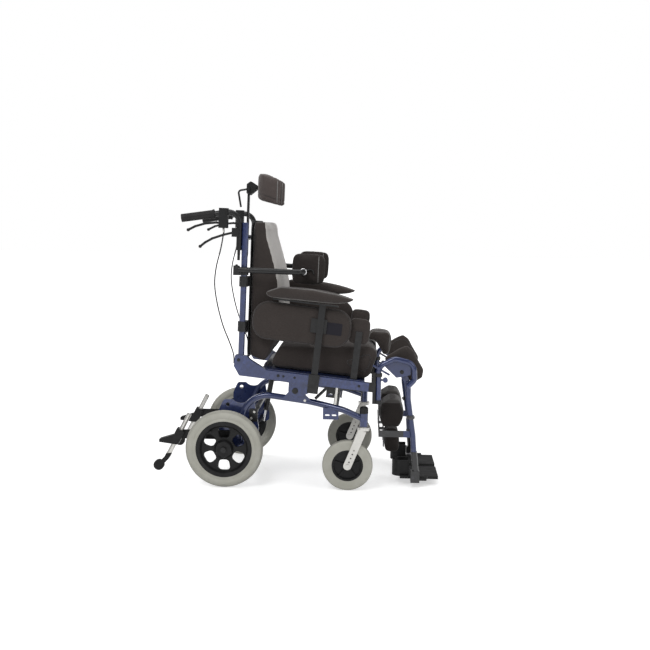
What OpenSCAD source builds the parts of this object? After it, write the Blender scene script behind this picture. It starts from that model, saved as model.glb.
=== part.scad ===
// Tilting attendant wheelchair: a tubular base on two air-tyred rear wheels and two castors,
// and a seat unit that tilts as a whole on it. X runs forward, Y to the sitter's left, Z up.
// Sizes are in millimetres. The right side is built and the left one is its mirror image.

/* [Rear wheels] */
// Outer diameter of a rear tyre
wheel_d = 310; // [290:2:320]
// Width of a rear tyre
wheel_w = 42; // [36:1:46]
// Height of a rear tyre over its rim
tyre_h = 42.5; // [38:0.5:50]
// Distance between the middles of the two rear tyres
wheel_track = 550; // [545:1:570]
// Number of windows round a rim
window_count = 6; // [5:1:8]
// Diameter of a rear axle
axle_d = 12; // [10:0.5:14]

/* [Castors] */
// Outer diameter of a castor tyre
castor_d = 200; // [180:2:206]
// Width of a castor tyre
castor_w = 34; // [28:1:38]
// Diameter of a castor hub
castor_hub_d = 125; // [110:1:135]
// Number of ribs on each face of a castor hub
rib_count = 5; // [4:1:7]
// Distance of the swivel line ahead of the rear axle
castor_ahead = 553; // [540:1:570]
// Distance between the two swivel lines
castor_track = 544; // [538:1:556]
// Distance of the castor axle behind the swivel line
castor_trail = 62; // [50:1:66]

/* [Base frame] */
// Diameter of the frame tubes
tube_d = 25; // [22:0.5:27]
// Distance between the middles of the two rear side tubes
base_track = 424; // [416:1:430]
// Rise of the side tube's rear knee over the castor housings
knee_rise = 68; // [63:1:71]
// Drop of the side tube's front end below the top of its castor housing
nose_drop = 24; // [19:1:29]
// Thickness of the rear wheel plates
plate_t = 6; // [5:0.5:7]

/* [Tilt] */
// Distance of the tilt pivot ahead of the rear axle
pivot_ahead = 277; // [272:1:282]
// Rise of the tilt pivots over the castor housings
pivot_rise = 77; // [75:1:83]
// Forward slope of the seat in its most upright position, in degrees
seat_pitch = 6.1; // [4:0.1:7]
// Diameter of a tilt pivot pin
pivot_d = 14; // [12:0.5:16]

/* [Seat frame] */
// Distance between the middles of the two seat rails
rail_track = 478; // [474:1:484]
// Height of a seat rail
rail_h = 35; // [32:1:36]
// Width of a seat rail
rail_w = 24; // [20:1:25]
// Length of a seat rail behind the tilt pivot
rail_rear = 205; // [200:1:210]
// Length of a seat rail ahead of the tilt pivot
rail_front = 289; // [285:1:292]

/* [Cushions] */
// Width of the seat cushion
seat_w = 410; // [380:2:414]
// Length of the seat cushion
seat_l = 456; // [450:2:470]
// Height of the back cushion
back_l = 582; // [560:2:590]
// Width of the back cushion
back_w = 424; // [400:2:430]
// Greatest depth of the back cushion
back_t = 130; // [115:1:135]

/* [Back frame] */
// Slope of the back behind a line square to the seat, in degrees
back_lean = 4.4; // [3:0.1:6]
// Length of the back posts above the elbow
post_l = 530; // [515:1:540]

/* [Push handles] */
// Diameter of a hand grip
grip_d = 32; // [28:1:36]
// Length of a hand grip
grip_l = 126; // [110:1:130]
// Diameter of the handle tube
handle_d = 22; // [19:0.5:23]

/* [Armrests] */
// Length of an arm pad
arm_l = 358; // [330:2:366]
// Width of an arm pad
arm_w = 60; // [50:1:64]
// Length of a side panel
panel_l = 405; // [390:1:410]
// Height of a side panel
panel_h = 164; // [150:1:168]
// Thickness of a side panel
panel_t = 16; // [12:0.5:18]

/* [Headrest] */
// Width of the head pad across its wings
head_w = 250; // [230:2:270]
// Height of the head pad
head_h = 110; // [100:1:118]
// Depth of the head pad from its back to the tips of its wings
head_t = 100; // [90:1:106]

/* [Trunk supports] */
// Length of a trunk support pad
trunk_l = 134; // [120:1:140]
// Height of a trunk support pad
trunk_h = 124; // [112:1:128]
// Diameter of a trunk support arm
trunk_arm_d = 22; // [20:0.5:24]

/* [Leg rests] */
// Diameter of the hanger and leg tubes
leg_d = 22; // [20:0.5:23]
// Length of a footplate from heel to toe
foot_l = 155; // [145:1:160]
// Width of a footplate
foot_w = 172; // [160:1:178]
// Thickness of a footplate
foot_t = 12; // [10:0.5:14]

/* [Hidden] */
$fn = 48;

// Fits shared by the whole chair
running_gap = 0.05;
seat_gap = 0.3;
overrun = 1;
soft_gap = 0.4;
middle_ahead = 281.55;

// A bend is a hair thinner than its tube and tucks a little way into the straight lengths
bend_step = 0.05;
tuck_l = 0.8;

// Colours
paint = [0.16, 0.18, 0.36];
dark_metal = [0.09, 0.09, 0.1];
dark_plastic = [0.13, 0.13, 0.14];
alloy = [0.78, 0.78, 0.76];
tyre_grey = [0.62, 0.62, 0.58];
cloth_dark = [0.22, 0.2, 0.19];

// Small vector helpers
function unit(v) = v / norm(v);
function blend(a, b, share) = a + (b - a) * share;
function sized(shares, l, h) = [for (p = shares) [p.x * l, p.y * h]];
function power(v, exponent) = sign(v) * pow(abs(v), exponent);
function spin(x_dir, y_dir, z_dir) =
    [atan2(y_dir.z, z_dir.z), -asin(x_dir.z), atan2(x_dir.y, x_dir.x)];

// One rounded corner of an outline, as points from one tangent to the other
function corner(before, at, after, radius, steps) =
    let (
        u = unit(before - at),
        v = unit(after - at),
        half = acos(u * v) / 2,
        centre = at + unit(u + v) * radius / sin(half),
        first = at + u * radius / tan(half) - centre,
        last = at + v * radius / tan(half) - centre,
        turn = 180 - 2 * half
    )
    [for (i = [0 : steps]) centre + (first * sin(turn * (1 - i / steps)) + last * sin(turn * i / steps))
        / sin(turn)];

// An outline with all its corners rounded
function rounded(points, radius, steps = 4) =
    let (count = len(points))
    [for (i = [0 : count - 1])
        each corner(points[(i + count - 1) % count], points[i], points[(i + 1) % count], radius, steps)];

function turned_area(points) =
    let (count = len(points), products =
        [for (i = [0 : count - 1]) cross(points[i], points[(i + 1) % count])])
    products * [for (p = products) 1];

function backwards(points) = [for (i = [len(points) - 1 : -1 : 0]) points[i]];

// A straight round bar between two points
module bar(from, to, radius) {
    run = to - from;
    translate(from)
        rotate([0, acos(run.z / norm(run)), atan2(run.y, run.x)])
            cylinder(r = radius, h = norm(run));
}

// A bent tube through a list of points, with one bend radius per inner point
module bent_tube(points, bends, radius) {
    count = len(points);
    dirs = [for (i = [0 : count - 2]) unit(points[i + 1] - points[i])];
    turns = [for (i = [0 : count - 1]) i == 0 || i == count - 1 ? 0 : acos(dirs[i - 1] * dirs[i])];
    reach = [for (i = [0 : count - 1]) i == 0 || i == count - 1 ? 0 : bends[i - 1] * tan(turns[i] / 2)];
    for (i = [0 : count - 2])
        bar(points[i] + dirs[i] * reach[i], points[i + 1] - dirs[i] * reach[i + 1], radius);
    for (i = [1 : count - 2]) {
        inward = unit(dirs[i] - dirs[i - 1] * (dirs[i] * dirs[i - 1]));
        centre = points[i] - dirs[i - 1] * reach[i] + inward * bends[i - 1];
        tuck = tuck_l / bends[i - 1] * 180 / PI;
        translate(centre)
            rotate(spin(-inward, dirs[i - 1], cross(-inward, dirs[i - 1])))
                rotate(-tuck)
                    rotate_extrude(angle = turns[i] + 2 * tuck)
                        translate([bends[i - 1], 0]) circle(r = radius - bend_step);
    }
}

// A plate drawn in a side view, X across and Y up, and stood on edge at a distance from the middle
module standing(y, thickness) {
    translate([0, y + thickness / 2, 0]) rotate([90, 0, 0]) linear_extrude(thickness) children();
}

// A pin or boss that lies across the chair
module across(x, z, y_from, y_to, radius) {
    bar([x, y_from, z], [x, y_to, z], radius);
}

// A stuffed pad: a side outline, drawn in towards both faces, each with a crown
module pad(outline, thickness, boxy = 0.35, least_share = 0.5, stations = 9) {
    loop = turned_area(outline) > 0 ? outline : backwards(outline);
    count = len(loop);
    xs = [for (p = loop) p.x];
    ys = [for (p = loop) p.y];
    centre = [(max(xs) + min(xs)) / 2, (max(ys) + min(ys)) / 2];
    rings = [for (i = [0 : stations - 1])
        let (angle = -90 + 180 * i / (stations - 1))
        [power(sin(angle), boxy), least_share + (1 - least_share) * pow(max(cos(angle), 0), boxy)]];
    points = [for (ring = rings) for (p = loop)
        [centre.x + (p.x - centre.x) * ring.y, centre.y + (p.y - centre.y) * ring.y,
            ring.x * thickness / 2]];
    sides = [for (j = [0 : stations - 2]) for (i = [0 : count - 1])
        let (a = j * count + i, b = j * count + (i + 1) % count)
        each [[a, a + count, b + count], [a, b + count, b]]];
    low = [for (i = [0 : count - 1]) i];
    high = [for (i = [count - 1 : -1 : 0]) (stations - 1) * count + i];
    polyhedron(points, concat(sides, [low], [high]));
}

// A pad whose outline is a side view of the chair, at a distance from the middle
module side_pad(outline, y, thickness, boxy = 0.35, least_share = 0.5, stations = 9) {
    translate([0, y, 0]) rotate([90, 0, 0]) pad(outline, thickness, boxy, least_share, stations);
}

// Heights that follow from the wheels and castors
wheel_r = wheel_d / 2;
crown_rise = 54;
crown_high = castor_d + crown_rise;
collar_l = 2;
housing_l = 53;
housing_low = crown_high + collar_l;
housing_high = housing_low + housing_l;
knee_h = housing_high + knee_rise;
nose_h = housing_high - nose_drop;
pivot_h = housing_high + pivot_rise;

// Places: the base, the seat unit, the back and the right leg rest each have a frame of their own
module base_place() translate([-middle_ahead, 0, 0]) children();
module seat_place() base_place() translate([pivot_ahead, 0, pivot_h]) rotate([0, seat_pitch, 0]) children();
module left_side() mirror([0, 1, 0]) children();
module both_sides() {
    children();
    left_side() children();
}

// Rear wheels
wheel_y = wheel_track / 2;
rim_r = wheel_r - tyre_h;
rim_w_share = 0.86;
rim_w = wheel_w * rim_w_share;
web_t = 14;
rim_wall = 16;
boss_r = 31;
boss_w = 44;
window_outer_gap = 10;
window_inner_gap = 12;
window_out = rim_r - rim_wall - window_outer_gap;
window_in = boss_r + window_inner_gap;
window_wide = 54;
window_narrow = 38;
window_round = 15;

module wheel_place() base_place() translate([0, -wheel_y, wheel_r]) rotate([90, 0, 0]) children();

module rear_tyre() {
    section_r = wheel_w / 2;
    color(tyre_grey) wheel_place() rotate_extrude($fn = 96)
        union() {
            translate([wheel_r - section_r, 0]) circle(r = section_r);
            translate([rim_r, -rim_w / 2]) square([wheel_r - section_r - rim_r, rim_w]);
        }
}

module rim_window() {
    outline = [
        [window_in, -window_narrow / 2], [window_out, -window_wide / 2],
        [window_out, window_wide / 2], [window_in, window_narrow / 2]
    ];
    translate([0, 0, -web_t / 2 - overrun])
        linear_extrude(web_t + 2 * overrun) polygon(rounded(outline, window_round));
}

module rear_rim() {
    color(dark_plastic) wheel_place() difference() {
        rotate_extrude($fn = 96)
            polygon([
                [axle_d / 2 + running_gap, -boss_w / 2], [boss_r, -boss_w / 2],
                    [boss_r + web_t / 2, -web_t / 2],
                [rim_r - rim_wall - web_t / 2, -web_t / 2], [rim_r - rim_wall, -rim_w / 2],
                    [rim_r, -rim_w / 2],
                [rim_r, rim_w / 2], [rim_r - rim_wall, rim_w / 2],
                    [rim_r - rim_wall - web_t / 2, web_t / 2],
                [boss_r + web_t / 2, web_t / 2], [boss_r, boss_w / 2],
                    [axle_d / 2 + running_gap, boss_w / 2]
            ]);
        for (i = [0 : window_count - 1]) rotate(90 + i * 360 / window_count) rim_window();
    }
}

// Rear axles
base_y = base_track / 2;
axle_boss_r = 17;
axle_nut_r = 11;
axle_nut_t = 9;
hub_gap = 0.5;
wheel_face_y = wheel_y - boss_w / 2;

module rear_axle() {
    across(0, wheel_r, -base_y + plate_t / 2, -wheel_y - boss_w / 2 - axle_nut_t, axle_d / 2);
    across(0, wheel_r, -base_y - plate_t / 2, -wheel_face_y + hub_gap, axle_boss_r);
    across(0, wheel_r, -wheel_y - boss_w / 2 - hub_gap, -wheel_y - boss_w / 2 - axle_nut_t, axle_nut_r);
}

// Base side frames
castor_y = castor_track / 2;
tube_r = tube_d / 2;
leg_ahead = 62;
leg_foot_rise = 17;
leg_foot_h = wheel_r + leg_foot_rise;
knee_bend = 105;
dip_ahead = 338;
dip_rise = 31;
dip_h = housing_high + dip_rise;
dip_bend = 220;
brow_ahead = 470;
brow_rise = 8;
brow_h = housing_high + brow_rise;
brow_bend = 160;
brow_share = (brow_ahead - dip_ahead) / (castor_ahead - dip_ahead);
brow_y = blend(base_y, castor_y, brow_share);
housing_r = 16;
stem_r = 8;
ear_ahead = 5;
ear_drop = 64;
ear_h = pivot_h - ear_drop;
ear_r = 20;
ear_hole_r = 8;
scoop_ahead = 58;
scoop_drop = 12;
scoop_h = pivot_h - scoop_drop;
scoop_r = 46;
plate_back = -32;
plate_front = 130;
plate_shoulder_share = 0.85;
plate_sole = 27;
plate_low = wheel_r - plate_sole;
plate_mid_drop = 150;
plate_mid_h = pivot_h - plate_mid_drop;
plate_top_drop = 43;
plate_top = pivot_h - plate_top_drop;
tip_drop = 88;
tip_h = pivot_h - tip_drop;
plate_round = 14;
post_plate_r = 22;
post_plate_foot = 30;
slot_ahead = 314;
slot_l = 30;
hanger_plate_ahead = 421;
hanger_plate_l = 62;
hanger_plate_h = 34;
hanger_plate_drop = 33;
hanger_plate_low = housing_high - hanger_plate_drop;
hanger_slot_w = 7;
hanger_slot_l = 18;
hanger_slot_step = 27;

function base_tube_h(ahead) = blend(dip_h, brow_h, (ahead - dip_ahead) / (brow_ahead - dip_ahead));
function base_tube_y(ahead) = blend(base_y, castor_y, (ahead - dip_ahead) / (castor_ahead - dip_ahead));

module rear_plate() {
    outline = [
        [plate_back, tip_h], [plate_back + ear_r, plate_top],
            [plate_front * plate_shoulder_share, plate_top],
        [plate_front, plate_mid_h], [plate_front, wheel_r + ear_r], [ear_r, plate_low],
        [-ear_r, plate_low], [plate_back, plate_mid_h]
    ];
    standing(-base_y, plate_t) difference() {
        union() {
            difference() {
                polygon(rounded(outline, plate_round));
                translate([scoop_ahead, scoop_h]) circle(r = scoop_r);
            }
            translate([ear_ahead, ear_h]) circle(r = ear_r);
        }
        translate([ear_ahead, ear_h]) circle(r = ear_hole_r);
        translate([0, wheel_r]) circle(r = axle_d / 2);
    }
}

// Upright plate that carries the tilt pivot
pivot_plate_y = base_y + tube_r - plate_t / 2;
module pivot_plate() {
    foot = [
        [pivot_ahead - post_plate_r - post_plate_foot, base_tube_h(pivot_ahead)],
        [pivot_ahead - post_plate_r, pivot_h], [pivot_ahead + post_plate_r, pivot_h],
        [slot_ahead + slot_l, base_tube_h(slot_ahead)]
    ];
    standing(-pivot_plate_y, plate_t) difference() {
        union() {
            polygon(foot);
            translate([pivot_ahead, pivot_h]) circle(r = post_plate_r);
        }
        translate([pivot_ahead, pivot_h]) circle(r = pivot_d / 2);
    }
}

// Slotted plate below the side tube, for accessories
module hanger_plate() {
    y = base_tube_y(hanger_plate_ahead) + tube_r - plate_t / 2;
    standing(-y, plate_t) difference() {
        translate([hanger_plate_ahead - hanger_plate_l / 2, hanger_plate_low])
            square([hanger_plate_l, hanger_plate_h + tube_r]);
        for (side = [-1, 1])
            translate([hanger_plate_ahead + side * hanger_slot_step / 2, hanger_plate_low
                + hanger_plate_h / 2]) {
                square([hanger_slot_l - hanger_slot_w, hanger_slot_w], center = true);
                for (end = [-1, 1])
                    translate([end * (hanger_slot_l - hanger_slot_w) / 2, 0]) circle(r = hanger_slot_w / 2);
            }
    }
}

module base_side_frames() {
    color(paint) base_place() both_sides() difference() {
        union() {
            bent_tube([
                [leg_ahead, -base_y, leg_foot_h], [leg_ahead, -base_y, knee_h], [dip_ahead, -base_y, dip_h],
                [brow_ahead, -brow_y, brow_h], [castor_ahead, -castor_y, nose_h]
            ], [knee_bend, dip_bend, brow_bend], tube_r);
            rear_plate();
            pivot_plate();
            hanger_plate();
            translate([castor_ahead, -castor_y, housing_low])
                cylinder(r = housing_r, h = housing_high - housing_low);
        }
        translate([castor_ahead, -castor_y, housing_low - overrun])
            cylinder(r = stem_r + running_gap, h = housing_high - housing_low + 2 * overrun);
    }
}

cap_h = 26;
cap_r = 17;
cap_round = 5;
module castor_caps() {
    color(dark_plastic) base_place() both_sides() translate([castor_ahead, -castor_y, housing_high]) {
        cylinder(r = cap_r, h = cap_h - cap_round);
        translate([0, 0, cap_h - cap_round]) cylinder(r1 = cap_r, r2 = cap_r - cap_round, h = cap_round);
    }
}

// Cross tubes of the base, with the lug that carries the gas spring
front_cross_ahead = 440;
upper_cross_ahead = 106;
upper_cross_h = 281;
spring_ahead = 125;
spring_rise = 44;
spring_low_h = wheel_r + spring_rise;
lower_cross_ahead = -8;
lower_cross_h = 215;
cross_r = 11;
lug_t = 6;
lug_r = 15;
eye_w = 16;
spring_pin_r = 5;
flange_w = 40;
flange_h = 52;
flange_t = 5;
flange_round = 6;

module base_cross_tubes() {
    inner_y = base_y - plate_t / 2;
    front_y = base_tube_y(front_cross_ahead);
    color(dark_metal) base_place() {
        difference() {
            across(front_cross_ahead, base_tube_h(front_cross_ahead), -front_y, front_y, cross_r);
            both_sides() bar([dip_ahead, -base_y, dip_h], [brow_ahead, -brow_y, brow_h], tube_r);
        }
        across(upper_cross_ahead, upper_cross_h, -inner_y, inner_y, cross_r);
        across(lower_cross_ahead, lower_cross_h, -inner_y, inner_y, cross_r);
        across(spring_ahead - lug_r - cross_r, spring_low_h - cross_r, -inner_y, inner_y, cross_r);
        for (side = [-1, 1])
            standing(side * (eye_w / 2 + seat_gap + lug_t / 2), lug_t) union() {
                translate([spring_ahead, spring_low_h]) circle(r = lug_r);
                translate([spring_ahead - lug_r - cross_r, spring_low_h - cross_r]) circle(r = lug_r);
                translate([spring_ahead - lug_r - cross_r, spring_low_h - cross_r])
                    square([lug_r + cross_r, lug_r]);
            }
        across(spring_ahead, spring_low_h, -eye_w, eye_w, spring_pin_r);
    }
    color(alloy) base_place() both_sides()
        standing(-base_y - (plate_t + flange_t) / 2, flange_t)
            polygon(rounded([
                [upper_cross_ahead - flange_w / 2 + flange_round, upper_cross_h - flange_h / 2],
                [upper_cross_ahead + flange_w / 2, upper_cross_h - flange_h / 2],
                [upper_cross_ahead + flange_w / 2, upper_cross_h + flange_h / 2],
                [upper_cross_ahead - flange_w / 2 + flange_round, upper_cross_h + flange_h / 2]
            ], flange_round));
}

// Tilt pivot pins
lug_plate_t = 6;
lug_plate_y = rail_track / 2 - rail_w / 2 + lug_plate_t / 2;
pin_head_r = 12;
pin_head_t = 4;
module tilt_pin() {
    outer = lug_plate_y + lug_plate_t / 2;
    across(pivot_ahead, pivot_h, -pivot_plate_y + plate_t / 2, -outer - pin_head_t, pivot_d / 2);
    across(pivot_ahead, pivot_h, -pivot_plate_y - plate_t / 2, -lug_plate_y + lug_plate_t / 2 + seat_gap,
        pin_head_r);
    across(pivot_ahead, pivot_h, -outer - seat_gap, -outer - seat_gap - pin_head_t, pin_head_r);
}

module axles_and_pins() {
    color(alloy) base_place() both_sides() {
        rear_axle();
        tilt_pin();
    }
}

// Castors
fork_t = 5;
fork_w = 32;
fork_gap = 1;
crown_t = 12;
castor_r = castor_d / 2;
castor_bolt_r = 5;
castor_bolt_head_r = 8;
castor_bolt_head_t = 4;
castor_hole_step = 17;
castor_hole_r = 3;
castor_hole_count = 4;

module fork_blade() {
    rake = atan2(castor_trail, crown_high - castor_r);
    length = norm([castor_trail, crown_high - castor_r]);
    translate([-castor_trail, castor_r]) rotate(-rake) difference() {
        union() {
            circle(r = fork_w / 2);
            translate([-fork_w / 2, 0]) square([fork_w, length - crown_t]);
        }
        for (i = [1 : castor_hole_count]) translate([0, i * castor_hole_step]) circle(r = castor_hole_r);
    }
}

module castor_fork() {
    blade_y = castor_w / 2 + fork_gap + fork_t / 2;
    half_w = blade_y + fork_t / 2;
    color(alloy) base_place() translate([castor_ahead, -castor_y, 0]) {
        for (side = [-1, 1]) standing(side * blade_y, fork_t) fork_blade();
        intersection() {
            translate([-fork_w, -half_w, crown_high - crown_t]) cube([2 * fork_w, 2 * half_w, crown_t]);
            translate([0, 0, crown_high - crown_t]) cylinder(r = half_w + fork_t / 2, h = crown_t);
        }
        translate([0, 0, crown_high - overrun])
            cylinder(r = stem_r, h = housing_high - crown_high + overrun);
        translate([0, 0, crown_high - overrun])
            cylinder(r = housing_r, h = housing_low - seat_gap - crown_high + overrun);
        across(-castor_trail, castor_r, -half_w, half_w, castor_bolt_r);
        across(-castor_trail, castor_r, -half_w - castor_bolt_head_t, -half_w + overrun,
            castor_bolt_head_r);
        across(-castor_trail, castor_r, half_w - overrun, half_w + castor_bolt_head_t, castor_bolt_head_r);
    }
}

module castor_place() {
    base_place() translate([castor_ahead - castor_trail, -castor_y, castor_r]) rotate([90, 0, 0])
        children();
}

castor_rim_step = 1;
castor_rim_w = castor_w - 2 * castor_rim_step;
castor_web_t = 12;
castor_boss_r = 15;
castor_lip = 7;
rib_t = 5;

module castor_rim() {
    hub_r = castor_hub_d / 2;
    color(dark_plastic) castor_place() difference() {
        union() {
            rotate_extrude($fn = 72)
                polygon([
                    [0, -castor_w / 2], [castor_boss_r, -castor_w / 2], [castor_boss_r, -castor_web_t / 2],
                    [hub_r - castor_lip, -castor_web_t / 2], [hub_r - castor_lip, -castor_rim_w / 2],
                    [hub_r, -castor_rim_w / 2], [hub_r, castor_rim_w / 2],
                        [hub_r - castor_lip, castor_rim_w / 2],
                    [hub_r - castor_lip, castor_web_t / 2], [castor_boss_r, castor_web_t / 2],
                    [castor_boss_r, castor_w / 2], [0, castor_w / 2]
                ]);
            for (i = [0 : rib_count - 1])
                rotate(90 + i * 360 / rib_count)
                    translate([castor_boss_r - overrun, -rib_t / 2, -castor_rim_w / 2 + castor_lip / 2])
                        cube([hub_r - castor_boss_r - castor_lip + 2 * overrun, rib_t, castor_rim_w
                            - castor_lip]);
        }
        cylinder(r = castor_bolt_r + running_gap, h = 2 * castor_w, center = true);
    }
}

castor_round = 9;
module castor_tyre() {
    hub_r = castor_hub_d / 2;
    color(tyre_grey) castor_place() rotate_extrude($fn = 72)
        union() {
            translate([hub_r, -castor_w / 2]) square([castor_r - castor_round - hub_r, castor_w]);
            translate([hub_r, -castor_w / 2 + castor_round])
                square([castor_r - hub_r, castor_w - 2 * castor_round]);
            for (side = [-1, 1])
                translate([castor_r - castor_round, side * (castor_w / 2 - castor_round)])
                    circle(r = castor_round);
        }
}

// Anti-tippers: a tube at a slant through a clamp with a step pedal, and a small wheel at its foot
tipper_out = 7;
tipper_y = base_y + tipper_out;
tipper_lean = 27;
tipper_back = 150;
tipper_rise = 125;
tipper_top = [-tipper_back, wheel_r + tipper_rise];
tipper_l = 200;
tipper_r = 9.5;
clamp_along = 101;
clamp_l = 58;
clamp_w = 34;
clamp_t = 34;
pedal_l = 58;
pedal_root = 34;
pedal_tip = 12;
pedal_w = 30;
arm_front = 24;
arm_rise = 25;
arm_low = wheel_r + arm_rise;
arm_h = 36;
arm_t = 8;
tipper_wheel_r = 21;
tipper_wheel_w = 20;
tipper_axle_r = 4;
tipper_wheel_back = 15;
tipper_wheel_low = 244;
cheek_t = 4;

module tipper_place() {
    base_place() translate([tipper_top.x, -tipper_y, tipper_top.y]) rotate([0, tipper_lean, 0]) children();
}

module anti_tip_clamps() {
    clamp_x = tipper_top.x - clamp_along * sin(tipper_lean);
    clamp_z = tipper_top.y - clamp_along * cos(tipper_lean);
    color(dark_plastic) both_sides() difference() {
        union() {
            tipper_place() translate([-clamp_w / 2, -clamp_t / 2, -clamp_along - clamp_l / 2])
                cube([clamp_w, clamp_t, clamp_l]);
            base_place() standing(-base_y - plate_t / 2 - arm_t / 2, arm_t) polygon(rounded([
                [clamp_x, arm_low], [arm_front, arm_low], [arm_front, arm_low + arm_h],
                    [clamp_x, arm_low + arm_h]
            ], arm_t));
            base_place() standing(-tipper_y, pedal_w) polygon(rounded([
                [clamp_x, clamp_z - pedal_root], [clamp_x, clamp_z],
                [clamp_x - clamp_w / 2, clamp_z + pedal_tip / 2],
                [clamp_x - clamp_w / 2 - pedal_l, clamp_z - pedal_tip],
                [clamp_x - clamp_w / 2 - pedal_l, clamp_z - 2 * pedal_tip]
            ], pedal_tip / 4));
        }
        tipper_place() translate([0, 0, -tipper_l])
            cylinder(r = tipper_r + running_gap, h = tipper_l + overrun);
    }
}

module anti_tip_tube() {
    fork_half = tipper_wheel_w / 2 + cheek_t;
    cheek = [
        [-tipper_wheel_back - tipper_r, -tipper_wheel_low - tipper_r],
        [-tipper_wheel_back + tipper_r, -tipper_wheel_low - tipper_r], [tipper_r, -tipper_l],
        [tipper_r, -tipper_l + 2 * tipper_r], [-tipper_r, -tipper_l + 2 * tipper_r], [-tipper_r, -tipper_l]
    ];
    color(alloy) tipper_place() {
        translate([0, 0, -tipper_l]) cylinder(r = tipper_r, h = tipper_l);
        for (side = [-1, 1])
            standing(side * (fork_half - cheek_t / 2), cheek_t) polygon(rounded(cheek, tipper_axle_r));
        translate([-tipper_r, -fork_half, -tipper_l]) cube([2 * tipper_r, 2 * fork_half, 2 * tipper_r]);
        across(-tipper_wheel_back, -tipper_wheel_low, -fork_half, fork_half, tipper_axle_r);
    }
}

module anti_tip_wheel() {
    color(dark_plastic) tipper_place() translate([-tipper_wheel_back, 0, -tipper_wheel_low])
        rotate([90, 0, 0])
        difference() {
            cylinder(r = tipper_wheel_r, h = tipper_wheel_w - 2 * seat_gap, center = true);
            cylinder(r = tipper_axle_r + running_gap, h = 2 * tipper_wheel_w, center = true);
        }
}

// Gas spring between the base and the seat frame
spring_top_s = -112;
spring_top_h = 54;
spring_r = 11;
rod_r = 4;
cylinder_low = 63;
neck_l = 26;
stroke_l = 49;
eye_r = 11;
open_eye_gap = 1.8;
spring_top = [
    pivot_ahead + spring_top_s * cos(seat_pitch) + spring_top_h * sin(seat_pitch),
    pivot_h - spring_top_s * sin(seat_pitch) + spring_top_h * cos(seat_pitch)
];
spring_run = spring_top - [spring_ahead, spring_low_h];
spring_l = norm(spring_run);
spring_lean = atan2(spring_run.x, spring_run.y);
rod_share = 0.68;
rod_reach = spring_l * rod_share;

module spring_place() {
    base_place() translate([spring_ahead, 0, spring_low_h]) rotate([0, spring_lean, 0]) children();
}

module gas_spring_rod() {
    color(alloy) spring_place() difference() {
        union() {
            cylinder(r = rod_r, h = rod_reach);
            rotate([90, 0, 0]) cylinder(r = eye_r, h = eye_w, center = true);
        }
        rotate([90, 0, 0]) cylinder(r = spring_pin_r + running_gap, h = 2 * eye_w, center = true);
    }
}

module gas_spring_cylinder() {
    color(dark_metal) spring_place() difference() {
        union() {
            translate([0, 0, cylinder_low]) cylinder(r = spring_r, h = spring_l - cylinder_low - neck_l);
            translate([0, 0, spring_l - neck_l - overrun]) cylinder(r = eye_w / 2, h = neck_l + overrun);
            translate([0, 0, spring_l]) rotate([90, 0, 0])
                cylinder(r = eye_r + spring_pin_r / 2, h = eye_w - 2 * seat_gap, center = true);
        }
        translate([0, 0, cylinder_low - overrun])
            cylinder(r = rod_r + running_gap, h = rod_reach - cylinder_low + stroke_l);
        translate([0, 0, spring_l]) rotate([90, 0, 0])
            cylinder(r = spring_pin_r + open_eye_gap, h = 2 * eye_w, center = true);
    }
}

// Seat frame
rail_y = rail_track / 2;
rail_low = 36;
rail_high = rail_low + rail_h;
pan_t = 4;
pan_front = 270;
elbow_l = 84;
elbow_high = 118;
elbow_t = rail_w;
seat_cross_r = 12.5;
rear_cross_s = -140;
front_beam_s = 184;
front_beam_l = 84;
front_beam_h = 38;
front_beam_t = 4;
back_s = -229;
back_h = 111;
post_r = 12.5;
lug_low_r = 20;
lug_l = 90;
lug_shares = [[-0.33, 1], [-0.3, -0.1], [-0.13, -0.44], [0.34, -0.4], [0.62, -0.05], [0.67, 1]];

// Block at the rear end of a rail, with the hole that a back post's spigot stands in
module elbow() {
    back_edge = -rail_rear - rail_h;
    difference() {
        standing(-rail_y, elbow_t) polygon(rounded([
            [back_edge + tube_r, rail_low], [-rail_rear + elbow_l, rail_low],
            [-rail_rear + elbow_l, rail_high], [-rail_rear + post_r, elbow_high - post_r],
            [-rail_rear, elbow_high], [back_edge - post_r, elbow_high], [back_edge - post_r, rail_high]
        ], plate_t));
        translate([back_s, -rail_y, back_h]) rotate([0, -back_lean, 0])
            translate([0, 0, spigot_low - overrun])
            cylinder(r = spigot_r + running_gap, h = post_low - spigot_low + 2 * overrun);
    }
}

module seat_frame() {
    lug_top = rail_low + rail_h / 4;
    color(paint) seat_place() {
        both_sides() {
            translate([-rail_rear, -rail_y - rail_w / 2, rail_low])
                cube([rail_rear + rail_front, rail_w, rail_h]);
            elbow();
            standing(-lug_plate_y, lug_plate_t) difference() {
                union() {
                    circle(r = lug_low_r);
                    polygon(sized(lug_shares, lug_l, lug_top));
                }
                circle(r = pivot_d / 2 + running_gap);
            }
        }
        across(rear_cross_s, rail_low + rail_h / 2, -rail_y, rail_y, seat_cross_r);
        translate([rear_cross_s, -rail_y, rail_high - overrun])
            cube([pan_front - rear_cross_s, rail_track, pan_t + overrun]);
        for (side = [-1, 1])
            standing(side * (eye_w / 2 + seat_gap + lug_t / 2), lug_t) union() {
                translate([spring_top_s, spring_top_h]) circle(r = lug_r);
                translate([rear_cross_s, rail_low + rail_h / 2]) circle(r = lug_r);
                translate([rear_cross_s, spring_top_h - lug_r])
                    square([spring_top_s - rear_cross_s, 2 * lug_r]);
            }
        across(spring_top_s, spring_top_h, -eye_w, eye_w, spring_pin_r);
    }
}

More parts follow.
